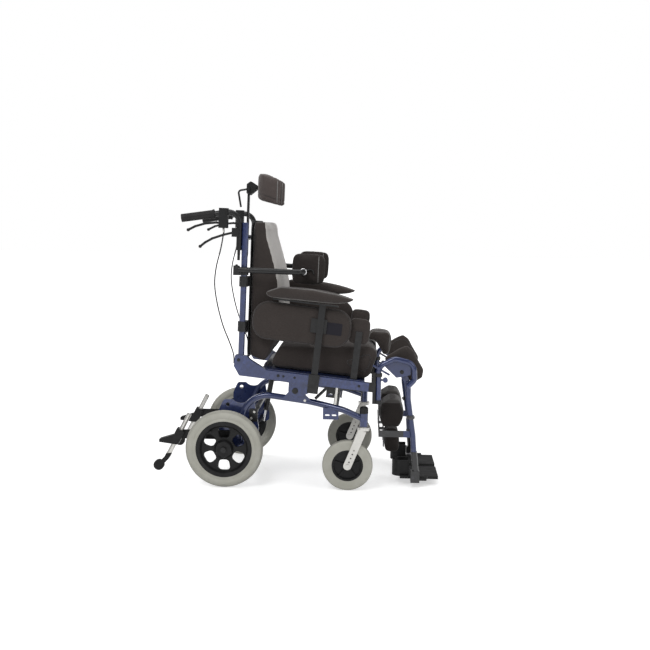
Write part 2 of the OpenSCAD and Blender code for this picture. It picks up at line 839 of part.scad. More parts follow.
// Channel under the front of the rails
module front_beam() {
    half_w = rail_y + rail_w / 2;
    seat_place() difference() {
        translate([front_beam_s, -half_w, rail_low - front_beam_h])
            cube([front_beam_l, 2 * half_w, front_beam_h]);
        translate([front_beam_s + front_beam_t, -half_w - overrun, rail_low - front_beam_h - overrun])
            cube([front_beam_l - 2 * front_beam_t, 2 * (half_w + overrun), front_beam_h - front_beam_t
                + overrun]);
    }
}

// Sockets for the armrests and the leg rests
arm_s = 70;
socket_l = 43;
socket_low = 4;
socket_high = 79;
arm_post_w = 26;
arm_post_t = 8;
socket_wall = 5;
arm_y = rail_y + rail_w / 2 + socket_wall + arm_post_t / 2;
leg_s = 327;
leg_h = 57;
leg_y = 240;
leg_r = leg_d / 2;
receiver_w = 24;
receiver_low = -65;
receiver_high = 57;
receiver_back = 25;
ring_r = 15;
ring_h = 14;
swing_gap = 0.3;

module leg_place() seat_place() translate([leg_s, -leg_y, leg_h]) rotate([0, -seat_pitch, 0]) children();

module receiver() {
    difference() {
        union() {
            seat_place() translate([rail_front, -rail_y - rail_w / 2, rail_low])
                cube([leg_s - rail_front - leg_r, rail_w, rail_h]);
            leg_place() {
                translate([-leg_r - receiver_back / 2, -receiver_w / 2, receiver_low])
                    cube([receiver_back / 2, receiver_w, receiver_high - receiver_low]);
                for (v = [receiver_low, receiver_high - ring_h]) translate([0, 0, v])
                    cylinder(r = ring_r, h = ring_h);
            }
        }
        leg_place() translate([0, 0, receiver_low - overrun])
            cylinder(r = leg_r + swing_gap, h = receiver_high - receiver_low + 2 * overrun);
    }
}

// Strap on the inner face of a rail that carries a hip pad
strap_t = 4;
strap_w = 26;
module hip_strap() {
    foot = rail_high + pan_t;
    seat_place() translate([hip_s - strap_w / 2, -rail_y + rail_w / 2, foot])
        cube([strap_w, strap_t, hip_low + hip_h / 2 - foot]);
}

module arm_socket() {
    seat_place() difference() {
        translate([arm_s - socket_l / 2, -rail_y - rail_w / 2 - 2 * socket_wall - arm_post_t, socket_low])
            cube([socket_l, 2 * socket_wall + arm_post_t, socket_high - socket_low]);
        translate([arm_s - arm_post_w / 2 - seat_gap, -arm_y - arm_post_t / 2 - seat_gap, socket_low
            - overrun])
            cube([arm_post_w + 2 * seat_gap, arm_post_t + 2 * seat_gap, socket_high - socket_low
                + 2 * overrun]);
    }
}

// Hand lever and slotted bracket under a rail
under_lever_root = 122;
under_lever_reach = 38;
under_lever_drop = 56;
under_lever_r = 6;
bracket_s = 124;
bracket_l = 34;
bracket_h = 46;
bracket_plate_t = 4;
bracket_slot_w = 8;
module under_rail() {
    drop = rail_low - under_lever_drop;
    slot_from = bracket_s + bracket_slot_w;
    seat_place() {
        bar([under_lever_root, -rail_y, rail_low - 1.5 * under_lever_r],
            [under_lever_root - under_lever_reach, -rail_y, drop], under_lever_r);
        translate([under_lever_root - under_lever_r, -rail_y - under_lever_r, rail_low - 2 * under_lever_r])
            cube([2 * under_lever_r, 2 * under_lever_r, 2 * under_lever_r]);
        standing(-rail_y + rail_w / 2 - bracket_plate_t / 2, bracket_plate_t) difference() {
            translate([bracket_s, rail_low - bracket_h]) square([bracket_l, bracket_h]);
            translate([slot_from, rail_low - bracket_h + bracket_slot_w])
                square([bracket_l - 2 * bracket_slot_w, bracket_slot_w]);
        }
    }
}

module seat_sockets() {
    color(dark_metal) {
        both_sides() {
            arm_socket();
            receiver();
            hip_strap();
            under_rail();
        }
        front_beam();
    }
}

// Stop posts that rest on the base tubes when the seat is fully forward
stop_s = 165;
stop_r = 7;
function seat_h(ahead, up) = (ahead - pivot_ahead) * sin(seat_pitch) + (up - pivot_h) * cos(seat_pitch);

module stop_posts() {
    ahead = pivot_ahead + stop_s * cos(seat_pitch);
    rise = atan2(dip_h - brow_h, brow_ahead - dip_ahead);
    crest = base_tube_h(ahead - stop_r) + tube_r / cos(rise);
    foot = seat_h(ahead - stop_r, crest) + 2 * seat_gap;
    color(alloy) seat_place() both_sides()
        translate([stop_s, -base_tube_y(ahead), foot]) cylinder(r = stop_r, h = rail_low - foot);
}

// Seat cushion, pommel and hip pads
cushion_rear = -134;
cushion_low = rail_high + pan_t + soft_gap;
cushion_high = 216;
cushion_side_shares = [
    [0, 0], [0.92, 0], [0.955, 0.1], [1, 0.72], [0.985, 0.9], [0.92, 1], [0.85, 0.99], [0.085, 0.67]
];
pommel_s = 262;
pommel_l = 102;
pommel_w = 110;
pommel_low = 160;
pommel_h = 104;
pommel_shares = [
    [0, 0.56], [0.36, 0.56], [0.6, 0.37], [0.665, 0.2], [0.69, 0.02], [0.86, 0], [1, 0.14], [0.97, 0.86],
        [0.82, 1],
    [0.18, 0.98], [0.04, 0.86]
];
hip_s = 225;
hip_l = 87;
hip_h = 107;
hip_low = 213;
hip_t = 24;

module seat_cushion() {
    height = cushion_high - cushion_low;
    outline = [for (p = sized(cushion_side_shares, seat_l, height))
        [p.x + cushion_rear, p.y + cushion_low]];
    color(cloth_dark) seat_place() side_pad(rounded(outline, height / 8, 3), 0, seat_w, 0.16, 0.86, 11);
}

module pommel() {
    outline = [for (p = sized(pommel_shares, pommel_l, pommel_h)) [p.x + pommel_s, p.y + pommel_low]];
    color(cloth_dark) seat_place() side_pad(rounded(outline, pommel_l / 30, 2), 0, pommel_w, 0.3, 0.86);
}

module hip_pads() {
    y = rail_y - rail_w / 2 - strap_t - soft_gap - hip_t / 2;
    outline = [
        [hip_s - hip_l / 2, hip_low], [hip_s + hip_l / 2, hip_low],
        [hip_s + hip_l / 2, hip_low + hip_h], [hip_s - hip_l / 2, hip_low + hip_h]
    ];
    color(cloth_dark) seat_place() both_sides() side_pad(rounded(outline, hip_l / 4, 4), -y, hip_t);
}

// Back frame: posts, cross bars and the shell
module back_place() seat_place() translate([back_s, 0, back_h]) rotate([0, -back_lean, 0]) children();
spigot_r = 8;
spigot_low = -22;
post_low = (elbow_high - back_h) / cos(back_lean) + post_r * tan(back_lean) + seat_gap;
upper_bar_c = 470;
lower_bar_c = 90;
back_bar_r = 9;
collar_r = 18;
collar_h = 40;
collar_places = [279, 101];
hinge_t = 10;
knuckle_r = 13;
swing_pin_r = 5;
shell_t = 5;
shell_b = 18;
shell_low = -10;
back_low = -34;
shell_drop = 8;
shell_high = back_low + back_l - shell_drop;
shell_w = 400;
handle_r = handle_d / 2;
handle_b = -post_r - handle_r;
handle_low = 421;
handle_knee = 576;
handle_bend = 44;
handle_back = -247;
handle_droop = 9.7;

module back_frame() {
    color(paint) back_place() {
        both_sides() {
            translate([0, -rail_y, post_low]) cylinder(r = post_r, h = post_l - post_low);
            translate([0, -rail_y, spigot_low]) cylinder(r = spigot_r, h = post_low - spigot_low + overrun);
        }
        for (c = [upper_bar_c, lower_bar_c]) across(0, c, -rail_y, rail_y, back_bar_r);
    }
}

module back_clamps() {
    hinge_c = trunk_c - trunk_arm_d / 2 - seat_gap;
    reach = [swing_b, -trunk_y + rail_y];
    color(dark_metal) back_place() {
        both_sides() {
            for (c = collar_places) difference() {
                union() {
                    translate([0, -rail_y, c]) cylinder(r = collar_r, h = collar_h);
                    translate([0, -rail_y + post_r, c])
                        cube([shell_b, rail_y - shell_w / 2 - post_r + collar_r, collar_h]);
                }
                translate([0, -rail_y, c - overrun]) cylinder(r = post_r, h = collar_h + 2 * overrun);
            }
            difference() {
                translate([0, -rail_y, hinge_c - hinge_t]) linear_extrude(hinge_t) union() {
                    circle(r = collar_r);
                    translate(reach) circle(r = knuckle_r);
                    rotate(atan2(reach.y, reach.x)) translate([0, -knuckle_r])
                        square([norm(reach), 2 * knuckle_r]);
                }
                translate([0, -rail_y, hinge_c - hinge_t - overrun])
                    cylinder(r = post_r, h = hinge_t + 2 * overrun);
            }
            translate([swing_b, -trunk_y, hinge_c - overrun])
                cylinder(r = swing_pin_r, h = trunk_arm_d + hinge_t + overrun);
        }
        difference() {
            translate([stem_b - stem_t / 2 - socket_wall, -stem_w / 2 - socket_wall, upper_bar_c
                - back_bar_r])
                cube([-stem_b + stem_t / 2 + socket_wall - back_bar_r, stem_w + 2 * socket_wall,
                    2 * back_bar_r]);
            translate([stem_b - stem_t / 2 - seat_gap, -stem_w / 2 - seat_gap, upper_bar_c - back_bar_r
                - overrun])
                cube([stem_t + 2 * seat_gap, stem_w + 2 * seat_gap, 2 * back_bar_r + 2 * overrun]);
        }
    }
}

module back_shell() {
    outline = [
        [-shell_w / 2, shell_low], [shell_w / 2, shell_low],
        [shell_w / 2, shell_high], [-shell_w / 2, shell_high]
    ];
    color(dark_plastic) back_place() translate([shell_b, 0, 0]) rotate([90, 0, 90])
        linear_extrude(shell_t) polygon(rounded(outline, shell_w / 10, 6));
}

cushion_b = shell_b + shell_t + soft_gap;
back_side_shares = [
    [0.14, 0.03], [0.5, 0], [0.95, 0.2], [1, 0.42], [0.94, 0.56], [0.8, 0.69], [0.49, 0.9], [0.46, 1],
        [0, 1], [0, 0.04]
];
module back_cushion() {
    outline = [for (p = sized(back_side_shares, back_t, back_l)) [p.x + cushion_b, p.y + back_low]];
    color(cloth_dark) back_place() side_pad(rounded(outline, back_t / 16, 3), 0, back_w, 0.14, 0.94, 11);
}

// Push handles, grips and levers
module handle_path(radius) {
    knee = [handle_b, handle_knee];
    tip = [handle_back, handle_knee - (handle_b - handle_back) * tan(handle_droop)];
    bent_tube([[knee.x, -rail_y, handle_low], [knee.x, -rail_y, knee.y], [tip.x, -rail_y, tip.y]],
        [handle_bend], radius);
}

lever_clamp_b = -105;
lever_clamp_l = 35;
lever_clamp_drop = 71;
lever_clamp_h = 78;
lever_clamp_low = handle_knee - lever_clamp_drop;
lever_clamp_high = lever_clamp_low + lever_clamp_h;
lever_clamp_t = 30;
lever_pin_r = 3;
module push_handles() {
    color(dark_metal) back_place() both_sides() {
        handle_path(handle_r);
        bar([handle_b, -rail_y, handle_low - collar_h], [handle_b, -rail_y, handle_low], handle_r / 2);
        difference() {
            translate([lever_clamp_b, -rail_y - lever_clamp_t / 2, lever_clamp_low])
                cube([lever_clamp_l, lever_clamp_t, lever_clamp_high - lever_clamp_low]);
            translate([lever_clamp_b - overrun, -rail_y - lever_slot / 2, lever_clamp_low - overrun])
                cube([lever_clamp_l + 2 * overrun, lever_slot, lever_slot_h]);
        }
        across(lever_clamp_b + lever_clamp_l / 2, lever_pin_c, -rail_y - lever_clamp_t / 2, -rail_y
            + lever_clamp_t / 2, lever_pin_r);
    }
    color(dark_metal) back_place() {
        difference() {
            translate([tilt_lever_b - lever_t, -rail_y - lever_clamp_t / 2, tilt_lever_c
                - lever_clamp_l / 2])
                cube([-tilt_lever_b + handle_b + lever_t, lever_clamp_t, lever_clamp_l]);
            translate([tilt_lever_b - lever_t - overrun, -rail_y - lever_slot / 2, tilt_lever_c
                - lever_clamp_l])
                cube([2 * lever_t + overrun, lever_slot, 2 * lever_clamp_l]);
        }
        across(tilt_lever_b, tilt_lever_c, -rail_y - lever_clamp_t / 2, -rail_y + lever_clamp_t / 2,
            lever_pin_r);
    }
}

lever_t = 8;
lever_slot = lever_t + 2 * seat_gap;
lever_slot_h = 28;
lever_pin_rise = 17.5;
lever_pin_c = lever_clamp_low + lever_pin_rise;
lever_w = 9;
lever_end_share = 0.7;
lever_joint_share = 0.56;
lever_l = 138;
lever_shares = [[0, 0], [-0.2, 0.02], [-0.52, -0.02], [-0.8, -0.11], [-1, -0.22]];
lever_eye_r = 7.5;
tilt_lever_b = -44;
tilt_lever_drop = 86;
tilt_lever_c = handle_knee - tilt_lever_drop;
tilt_lever_shares = [[0, 0], [-0.3, -0.08], [-0.62, -0.2], [-0.82, -0.32], [-0.96, -0.44]];

module hand_grips() {
    color(dark_plastic) back_place() both_sides()
        translate([handle_back, -rail_y, handle_knee - (handle_b - handle_back) * tan(handle_droop)])
            rotate([0, 90 - handle_droop, 0]) translate([0, 0, -grip_round]) difference() {
                union() {
                    cylinder(r = grip_d / 2, h = grip_l);
                    grip_flange();
                }
                translate([0, 0, grip_round]) cylinder(r = handle_r, h = grip_l);
            }
}
grip_round = 6;
module grip_flange() {
    translate([0, 0, grip_l]) cylinder(r = grip_d / 2 + grip_round / 3, h = grip_round);
}

// A lever: an eye on its pin and a chain of straight lengths with round joints
module lever_body(shares) {
    points = sized(shares, lever_l, lever_l);
    difference() {
        union() {
            circle(r = lever_eye_r);
            for (i = [1 : len(points) - 1]) {
                run = points[i] - points[i - 1];
                translate(points[i - 1]) rotate(atan2(run.y, run.x))
                    translate([0, -lever_w / 2]) square([norm(run), lever_w]);
                translate(points[i]) circle(r = i == len(points) - 1 ? lever_w * lever_end_share
                    : lever_w * lever_joint_share);
            }
        }
        circle(r = lever_pin_r + running_gap);
    }
}

module brake_lever() {
    color(dark_metal) back_place() translate([lever_clamp_b + lever_clamp_l / 2, -rail_y + lever_t / 2,
        lever_pin_c])
        rotate([90, 0, 0]) linear_extrude(lever_t) lever_body(lever_shares);
}

module tilt_lever() {
    color(dark_metal) back_place() translate([tilt_lever_b, -rail_y + lever_t / 2, tilt_lever_c])
        rotate([90, 0, 0]) linear_extrude(lever_t) lever_body(tilt_lever_shares);
}

// Cables from the lever clamps down behind the back, held by the elbow at their lower end
cable_r = 2.5;
cable_sides = 8;
cable_steps = 5;
cable_y = 230;
cable_gap = 2;
cable_points = [
    [-88, 503], [-88, 480], [-97, 420], [-112, 350], [-116, 280], [-102, 200], [-78, 120], [-52, 60],
    [-36, 20], [-30, -5], [-29, -30]
];
cable_route = [for (p = cable_points) [p.x, p.y * (lever_clamp_low - cable_gap) / cable_points[0].y]];
function route_point(i) = cable_route[max(0, min(len(cable_route) - 1, i))];
function curve_point(i, t) =
    let (a = route_point(i - 1), b = route_point(i), c = route_point(i + 1), d = route_point(i + 2))
    ((2 * b) + (c - a) * t + (2 * a - 5 * b + 4 * c - d) * t * t + (3 * b - a - 3 * c + d) * t * t * t) / 2;

module brake_cable() {
    line = [for (i = [0 : len(cable_route) - 2]) for (k = [0 : cable_steps - 1])
        curve_point(i, k / cable_steps)];
    count = len(line);
    points = [for (i = [0 : count - 1])
        let (
            run = unit(line[min(i + 1, count - 1)] - line[max(i - 1, 0)]),
            sideways = [-run.y, run.x]
        )
        for (k = [0 : cable_sides - 1])
            let (angle = 360 * k / cable_sides, out = line[i] + sideways * cable_r * cos(angle))
            [out.x, -cable_y + cable_r * sin(angle), out.y]];
    sides = [for (i = [0 : count - 2]) for (k = [0 : cable_sides - 1])
        let (a = i * cable_sides + k, b = i * cable_sides + (k + 1) % cable_sides)
        each [[a, b, b + cable_sides], [a, b + cable_sides, a + cable_sides]]];
    low = [for (k = [cable_sides - 1 : -1 : 0]) k];
    high = [for (k = [0 : cable_sides - 1]) (count - 1) * cable_sides + k];
    polyhedron(points, concat(sides, [low], [high]));
}

module brake_cables() {
    color(dark_metal) back_place() both_sides() brake_cable();
}

// Headrest
stem_w = 25;
stem_t = 8;
stem_b = -9 - post_r;
stem_low = 390;
head_gap = 80;
head_low = back_low + back_l + head_gap;
head_pin_rise = 48;
head_slope_share = 0.29;
stem_high = head_low + head_pin_rise;
head_b = 24;
bracket_pin_b = 8;
bracket_pin_c = stem_high;
bracket_pin_r = 5;
bracket_w = 44;
bracket_t = 5;
head_lever_r = 4;
head_lever_bend = 12;
head_lever_l = 75;
head_lever_drop = 8;
head_lever_shares = [[0, 0], [-0.55, -0.11], [-0.37, -1]];

module headrest_stem() {
    color(dark_metal) back_place() {
        translate([stem_b - stem_t / 2, -stem_w / 2, stem_low])
            cube([stem_t, stem_w, stem_high - stem_low]);
        for (side = [-1, 1])
            standing(side * (stem_w / 2 + bracket_t / 2), bracket_t) difference() {
                polygon(rounded([
                    [stem_b - stem_t, stem_high - stem_w], [stem_b + stem_t, stem_high - stem_w - stem_t],
                    [bracket_pin_b + lever_eye_r, bracket_pin_c - lever_eye_r],
                    [bracket_pin_b + lever_eye_r, bracket_pin_c + lever_eye_r],
                    [stem_b + stem_t, stem_high + stem_w], [stem_b - stem_t, stem_high + stem_w / 2]
                ], bracket_t));
                translate([bracket_pin_b, bracket_pin_c]) circle(r = bracket_pin_r + running_gap);
            }
        head_lever();
    }
}

// Hand lever that locks the stem's head
module head_lever() {
    y = stem_w / 2 + bracket_t + lever_eye_r;
    root = [stem_b, 0, stem_high - head_lever_drop];
    across(root.x, root.z, -y - head_lever_r, -stem_w / 2, lever_eye_r);
    bent_tube([for (p = sized(head_lever_shares, head_lever_l, head_lever_l)) root + [p.x, -y, p.y]],
        [head_lever_bend], head_lever_r);
}

module headrest_bracket() {
    half = stem_w / 2 - seat_gap;
    color(dark_metal) back_place() {
        across(bracket_pin_b, bracket_pin_c, -half - 2 * bracket_t, half + 2 * bracket_t, bracket_pin_r);
        across(bracket_pin_b, bracket_pin_c, -half, half, lever_eye_r);
        translate([bracket_pin_b, -half, bracket_pin_c - lever_eye_r])
            cube([head_b - soft_gap - bracket_pin_b, 2 * half, 2 * lever_eye_r]);
        translate([head_b - soft_gap - bracket_t / 2, -bracket_w, bracket_pin_c - bracket_w / 2])
            cube([bracket_t / 2, 2 * bracket_w, bracket_w]);
    }
}

head_plan_shares = [
    [0, -0.34], [0.2, -0.46], [0.9, -0.5], [1, -0.46], [1, -0.4], [0.62, -0.3], [0.5, 0],
    [0.62, 0.3], [1, 0.4], [1, 0.46], [0.9, 0.5], [0.2, 0.46], [0, 0.34]
];
module headrest_pad() {
    outline = [for (p = sized(head_plan_shares, head_t, head_w)) [p.x + head_b, p.y]];
    color(cloth_dark) back_place() translate([0, 0, head_low + head_h / 2 + head_b * head_slope_share])
        multmatrix([[1, 0, 0, 0], [0, 1, 0, 0], [-head_slope_share, 0, 1, 0], [0, 0, 0, 1]])
        pad(rounded(outline, head_t / 24, 2), head_h, 0.22, 0.86, 11);
}

// Trunk supports
trunk_c = 346;
trunk_clear = 8;
trunk_y = rail_y + post_r + trunk_arm_d / 2 + trunk_clear;
trunk_front = 232;
trunk_pad_b = 184;
trunk_pad_low = 295;
trunk_pad_t = 30;
trunk_pad_y = 190;
swing_b = -26;

module trunk_arm() {
    color(dark_metal) back_place() difference() {
        union() {
            bent_tube([
                [swing_b, -trunk_y, trunk_c], [trunk_front, -trunk_y, trunk_c],
                [trunk_front, -trunk_pad_y - trunk_pad_t / 2 - soft_gap, trunk_c]
            ], [trunk_arm_d], trunk_arm_d / 2);
            translate([swing_b, -trunk_y, trunk_c - trunk_arm_d / 2])
                cylinder(r = knuckle_r, h = trunk_arm_d + hinge_t / 2);
        }
        translate([swing_b, -trunk_y, trunk_c - trunk_arm_d])
            cylinder(r = swing_pin_r + running_gap, h = 3 * trunk_arm_d);
    }
}

module trunk_pad() {
    outline = [
        [trunk_pad_b, trunk_pad_low], [trunk_pad_b + trunk_l, trunk_pad_low],
        [trunk_pad_b + trunk_l, trunk_pad_low + trunk_h], [trunk_pad_b, trunk_pad_low + trunk_h]
    ];
    color(cloth_dark) back_place() side_pad(rounded(outline, trunk_h / 5, 4), -trunk_pad_y, trunk_pad_t);
}

// Armrests
rest_low = 361;
arm_rear = -162;
arm_high = 415;
arm_side_shares = [
    [0.02, 0.1], [0.08, 0], [0.8, 0.12], [0.93, 0.3], [1, 0.56], [0.98, 0.66], [0.8, 0.86], [0.54, 1],
        [0.17, 0.92],
    [0, 0.4]
];
arm_pad_out = 4;
arm_pad_y = arm_y + arm_pad_out;
arm_plate_t = 5;
clip_l = 64;
clip_share = 0.6;
plate_start_share = 0.1;
plate_length_share = 0.72;
clip_low = 244;
clip_high = 300;
clip_out = 1;
panel_rear = -207;
panel_low = 187;
panel_round_share = 0.42;
panel_y = rail_y + rail_w / 2 - panel_t / 2;

module armrest() {
    color(dark_metal) seat_place() {
        translate([arm_s - arm_post_w / 2, -arm_y - arm_post_t / 2, socket_low])
            cube([arm_post_w, arm_post_t, rest_low - socket_low]);
        translate([arm_rear + arm_l * plate_start_share, -arm_pad_y - arm_post_w / 2, rest_low
            - arm_plate_t])
            cube([arm_l * plate_length_share, arm_post_w, arm_plate_t]);
        translate([arm_s - clip_l * clip_share, -arm_y + arm_post_t / 2 - clip_out, clip_low])
            cube([clip_l, arm_y - arm_post_t / 2 + clip_out - panel_y - panel_t / 2 - soft_gap, clip_high
                - clip_low]);
    }
}

module arm_pad() {
    height = arm_high - rest_low;
    outline = [for (p = sized(arm_side_shares, arm_l, height)) [p.x + arm_rear, p.y + rest_low + soft_gap]];
    color(cloth_dark) seat_place() side_pad(rounded(outline, height / 12, 2), -arm_pad_y, arm_w, 0.4, 0.8);
}

module side_panel() {
    outline = [
        [panel_rear, panel_low], [panel_rear + panel_l, panel_low],
        [panel_rear + panel_l, panel_low + panel_h], [panel_rear, panel_low + panel_h]
    ];
    color(cloth_dark) seat_place() side_pad(rounded(outline, panel_h * panel_round_share, 6), -panel_y,
        panel_t, 0.3, 0.9);
}

// Leg rests
loop_shares = [[0, 0.77], [0.44, 1.06], [0.98, 0.9], [1.0, 0.3], [0.82, 0.05]];
loop_l = 142;
loop_h = 109;
loop_bends = [40, 40, 40, 18];
knee_ahead = 92;
knee_up = 62;
leg_plate_y = 12;
leg_plate_t = 4;
leg_pin_r = 6;
leg_head_r = 10;
leg_in = 27;
leg_top = [119, 22];
leg_shin = [120, -49];
leg_ankle = [142, -198];
leg_foot = [147, -262];
tube_low = [157, -352];
extension_r = 13;
hanger_plate_shares = [[0.11, 0.83], [0.44, 1.04], [0.88, 0.92], [0.9, 0.46], [0.5, 0.35]];
knob_ahead = 27;
knob_up = 30;
knob_r = 10;
knob_w = 14;
release_up = 77;
release_rear = [-23, 90];
release_front = [43, 53];
release_r = 4;
leg_bracket_r = 17;
calf_bar_low = -205;
calf_bar_h = 26;
calf_bar_top = -75;
calf_bar_t = 5;
calf_bar_w = 34;
leg_clamp_up = -123;
leg_clamp_l = 14;
leg_clamp_r = 15;
foot_h = -376;
foot_back = 95;
foot_axis_y = 52;
foot_pin_r = 5;
flip_gap = 1;
block_in = foot_axis_y - foot_t / 2 - flip_gap;
knuckle_out_r = 12;
hinge_back = 136;
hinge_l = 36;
hinge_knuckle_l = 30;
foot_web = 12;
foot_inner = 58;
heel_h = 66;
heel_r = 33;
heel_t = 5;
heel_y = 105;
heel_back = 64;
heel_run = 1;
heel_front = heel_back + 2 * heel_r + heel_run;

module legrest_hanger() {
    outer = [for (p = sized(loop_shares, loop_l, loop_h)) [p.x, 0, p.y]];
    color(paint) leg_place() {
        bent_tube(concat([[0, 0, receiver_low]], outer), loop_bends, leg_r);
        standing(leg_plate_y, leg_plate_t)
            polygon(rounded(sized(hanger_plate_shares, loop_l, loop_h), leg_pin_r));
        release_lever();
        across(knee_ahead, knee_up, leg_plate_y, leg_in + leg_r, leg_pin_r);
        across(knee_ahead, knee_up, leg_plate_y, leg_in - leg_plate_t - seat_gap, leg_head_r);
        across(knee_ahead, knee_up, leg_in + leg_plate_t + seat_gap, leg_in + leg_r, leg_head_r);
    }
}

// Release lever on the outer face of the hanger, and its knob
module release_lever() {
    y = leg_r + release_r;
    across(0, release_up, -y - release_r, 0, release_r + release_r / 2);
    bar([release_rear.x, -y, release_rear.y], [release_front.x, -y, release_front.y], release_r);
    bar([0, 0, knob_up], [knob_ahead, 0, knob_up], release_r);
    across(knob_ahead, knob_up, -knob_w / 2, knob_w / 2, knob_r);
}

module leg_bracket() {
    standing(leg_in, leg_plate_t * 2) union() {
        translate([knee_ahead, knee_up]) circle(r = leg_bracket_r);
        polygon([
            [knee_ahead - leg_bracket_r, knee_up], [leg_top.x - leg_r, leg_top.y - leg_r],
            [leg_top.x + leg_r, leg_top.y - leg_r], [knee_ahead + leg_bracket_r, knee_up]
        ]);
    }
}

// Flat bars that run back and inwards from the leg tube and carry the two calf pads
module calf_bars() {
    rear = calf_back - soft_gap - calf_bar_t;
    strip_y = shin_pad_y - calf_bar_w / 2;
    strip_back = shin_pad_back - soft_gap - calf_bar_t;
    translate([rear, leg_in - calf_bar_t / 2, calf_bar_low])
        cube([leg_ankle.x - rear, calf_bar_t, calf_bar_h]);
    translate([rear, leg_in - calf_bar_t / 2, calf_bar_low])
        cube([calf_bar_t, strip_y + calf_bar_w - leg_in + calf_bar_t / 2, calf_bar_h]);
    translate([rear, strip_y, calf_bar_low]) cube([calf_bar_t, calf_bar_w, calf_bar_top - calf_bar_low]);
    translate([rear, strip_y, calf_bar_low]) cube([strip_back - rear + calf_bar_t, calf_bar_w, calf_bar_t]);
    translate([strip_back, strip_y, shin_pad_low + calf_bar_w / 2])
        cube([calf_bar_t, calf_bar_w, calf_bar_low + calf_bar_t - shin_pad_low - calf_bar_w / 2]);
}

// Clamp that sets the length of the leg tube
module leg_clamp() {
    middle = blend(leg_shin, leg_ankle, (leg_clamp_up - leg_shin.y) / (leg_ankle.y - leg_shin.y));
    along = unit(leg_ankle - leg_shin) * leg_clamp_l / 2;
    from = middle - along;
    to = middle + along;
    bar([from.x, leg_in, from.y], [to.x, leg_in, to.y], leg_clamp_r);
}

module leg_tube() {
    color(paint) leg_place() difference() {
        union() {
            bent_tube([
                [leg_top.x, leg_in, leg_top.y], [leg_shin.x, leg_in, leg_shin.y],
                [leg_ankle.x, leg_in, leg_ankle.y], [leg_foot.x, leg_in, leg_foot.y]
            ], [knee_bend, knee_bend], leg_r);
            leg_bracket();
        }
        across(knee_ahead, knee_up, 0, 2 * leg_in, leg_pin_r + running_gap);
    }
    color(dark_metal) leg_place() {
        calf_bars();
        leg_clamp();
        bar([leg_foot.x, leg_in, leg_foot.y], [tube_low.x, leg_in, tube_low.y], extension_r);
        translate([hinge_back, leg_in - extension_r, foot_h - knuckle_out_r])
            cube([hinge_l, block_in - leg_in + extension_r, tube_low.y - foot_h + 2 * knuckle_out_r]);
        translate([hinge_back, leg_in, foot_h - knuckle_out_r])
            cube([hinge_l, foot_axis_y - leg_in, 2 * knuckle_out_r]);
        translate([hinge_back, foot_axis_y, foot_h]) rotate([0, 90, 0])
            cylinder(r = knuckle_out_r, h = hinge_l);
        translate([hinge_back + hinge_l / 2, foot_axis_y, foot_h]) rotate([0, 90, 0])
            cylinder(r = foot_pin_r, h = hinge_l / 2 + hinge_knuckle_l + foot_pin_r);
    }
}

calf_w = 146;
calf_in = 62;
calf_y = calf_in + calf_w / 2;
calf_outline_shares = [[0.1, 0], [0.8, 0.02], [0.95, 0.3], [1, 0.55], [0.8, 0.95], [0.4, 1], [0, 0.8],
    [0, 0.2]];
calf_l = 100;
calf_h = 126;
calf_back = 10;
calf_low = -178;
shin_pad_back = 31;
shin_pad_l = 63;
shin_pad_low = -294;
shin_pad_h = 78;
shin_pad_w = 98;
shin_pad_y = 178;
module calf_pad() {
    outline = [for (p = sized(calf_outline_shares, calf_l, calf_h)) [p.x + calf_back, p.y + calf_low]];
    shin = [
        [shin_pad_back, shin_pad_low], [shin_pad_back + shin_pad_l, shin_pad_low],
        [shin_pad_back + shin_pad_l, shin_pad_low + shin_pad_h], [shin_pad_back, shin_pad_low + shin_pad_h]
    ];
    color(cloth_dark) leg_place() {
        side_pad(rounded(outline, calf_l / 12, 2), calf_y, calf_w, 0.3, 0.8);
        side_pad(rounded(shin, shin_pad_l / 4, 3), shin_pad_y, shin_pad_w, 0.3, 0.86, 7);
    }
}

knee_pad_t = 22;
knee_pad_back = 18;
knee_pad_low = 12;
knee_pad_l = 166;
knee_pad_h = 156;
knee_shares = [[0, 0.66], [0.35, 0.9], [0.56, 1], [0.72, 0.88], [1, 0.36], [0.97, 0.14], [0.76, 0],
    [0.5, 0.1], [0.05, 0.5]];
module knee_pad() {
    outline = [for (p = sized(knee_shares, knee_pad_l, knee_pad_h))
        [p.x + knee_pad_back, p.y + knee_pad_low]];
    color(cloth_dark) leg_place() side_pad(rounded(outline, knee_pad_l / 16, 2), leg_in + leg_r
        + knee_pad_t / 2 + soft_gap, knee_pad_t);
}

module heel_cup() {
    centre_back = heel_back + heel_r;
    translate([0, heel_y, foot_h]) linear_extrude(heel_h) difference() {
        union() {
            translate([centre_back, 0]) circle(r = heel_r);
            translate([centre_back, -heel_r]) square([heel_front - centre_back, 2 * heel_r]);
        }
        translate([centre_back, 0]) circle(r = heel_r - heel_t);
        translate([centre_back, -heel_r + heel_t])
            square([heel_front - centre_back + overrun, 2 * (heel_r - heel_t)]);
    }
}

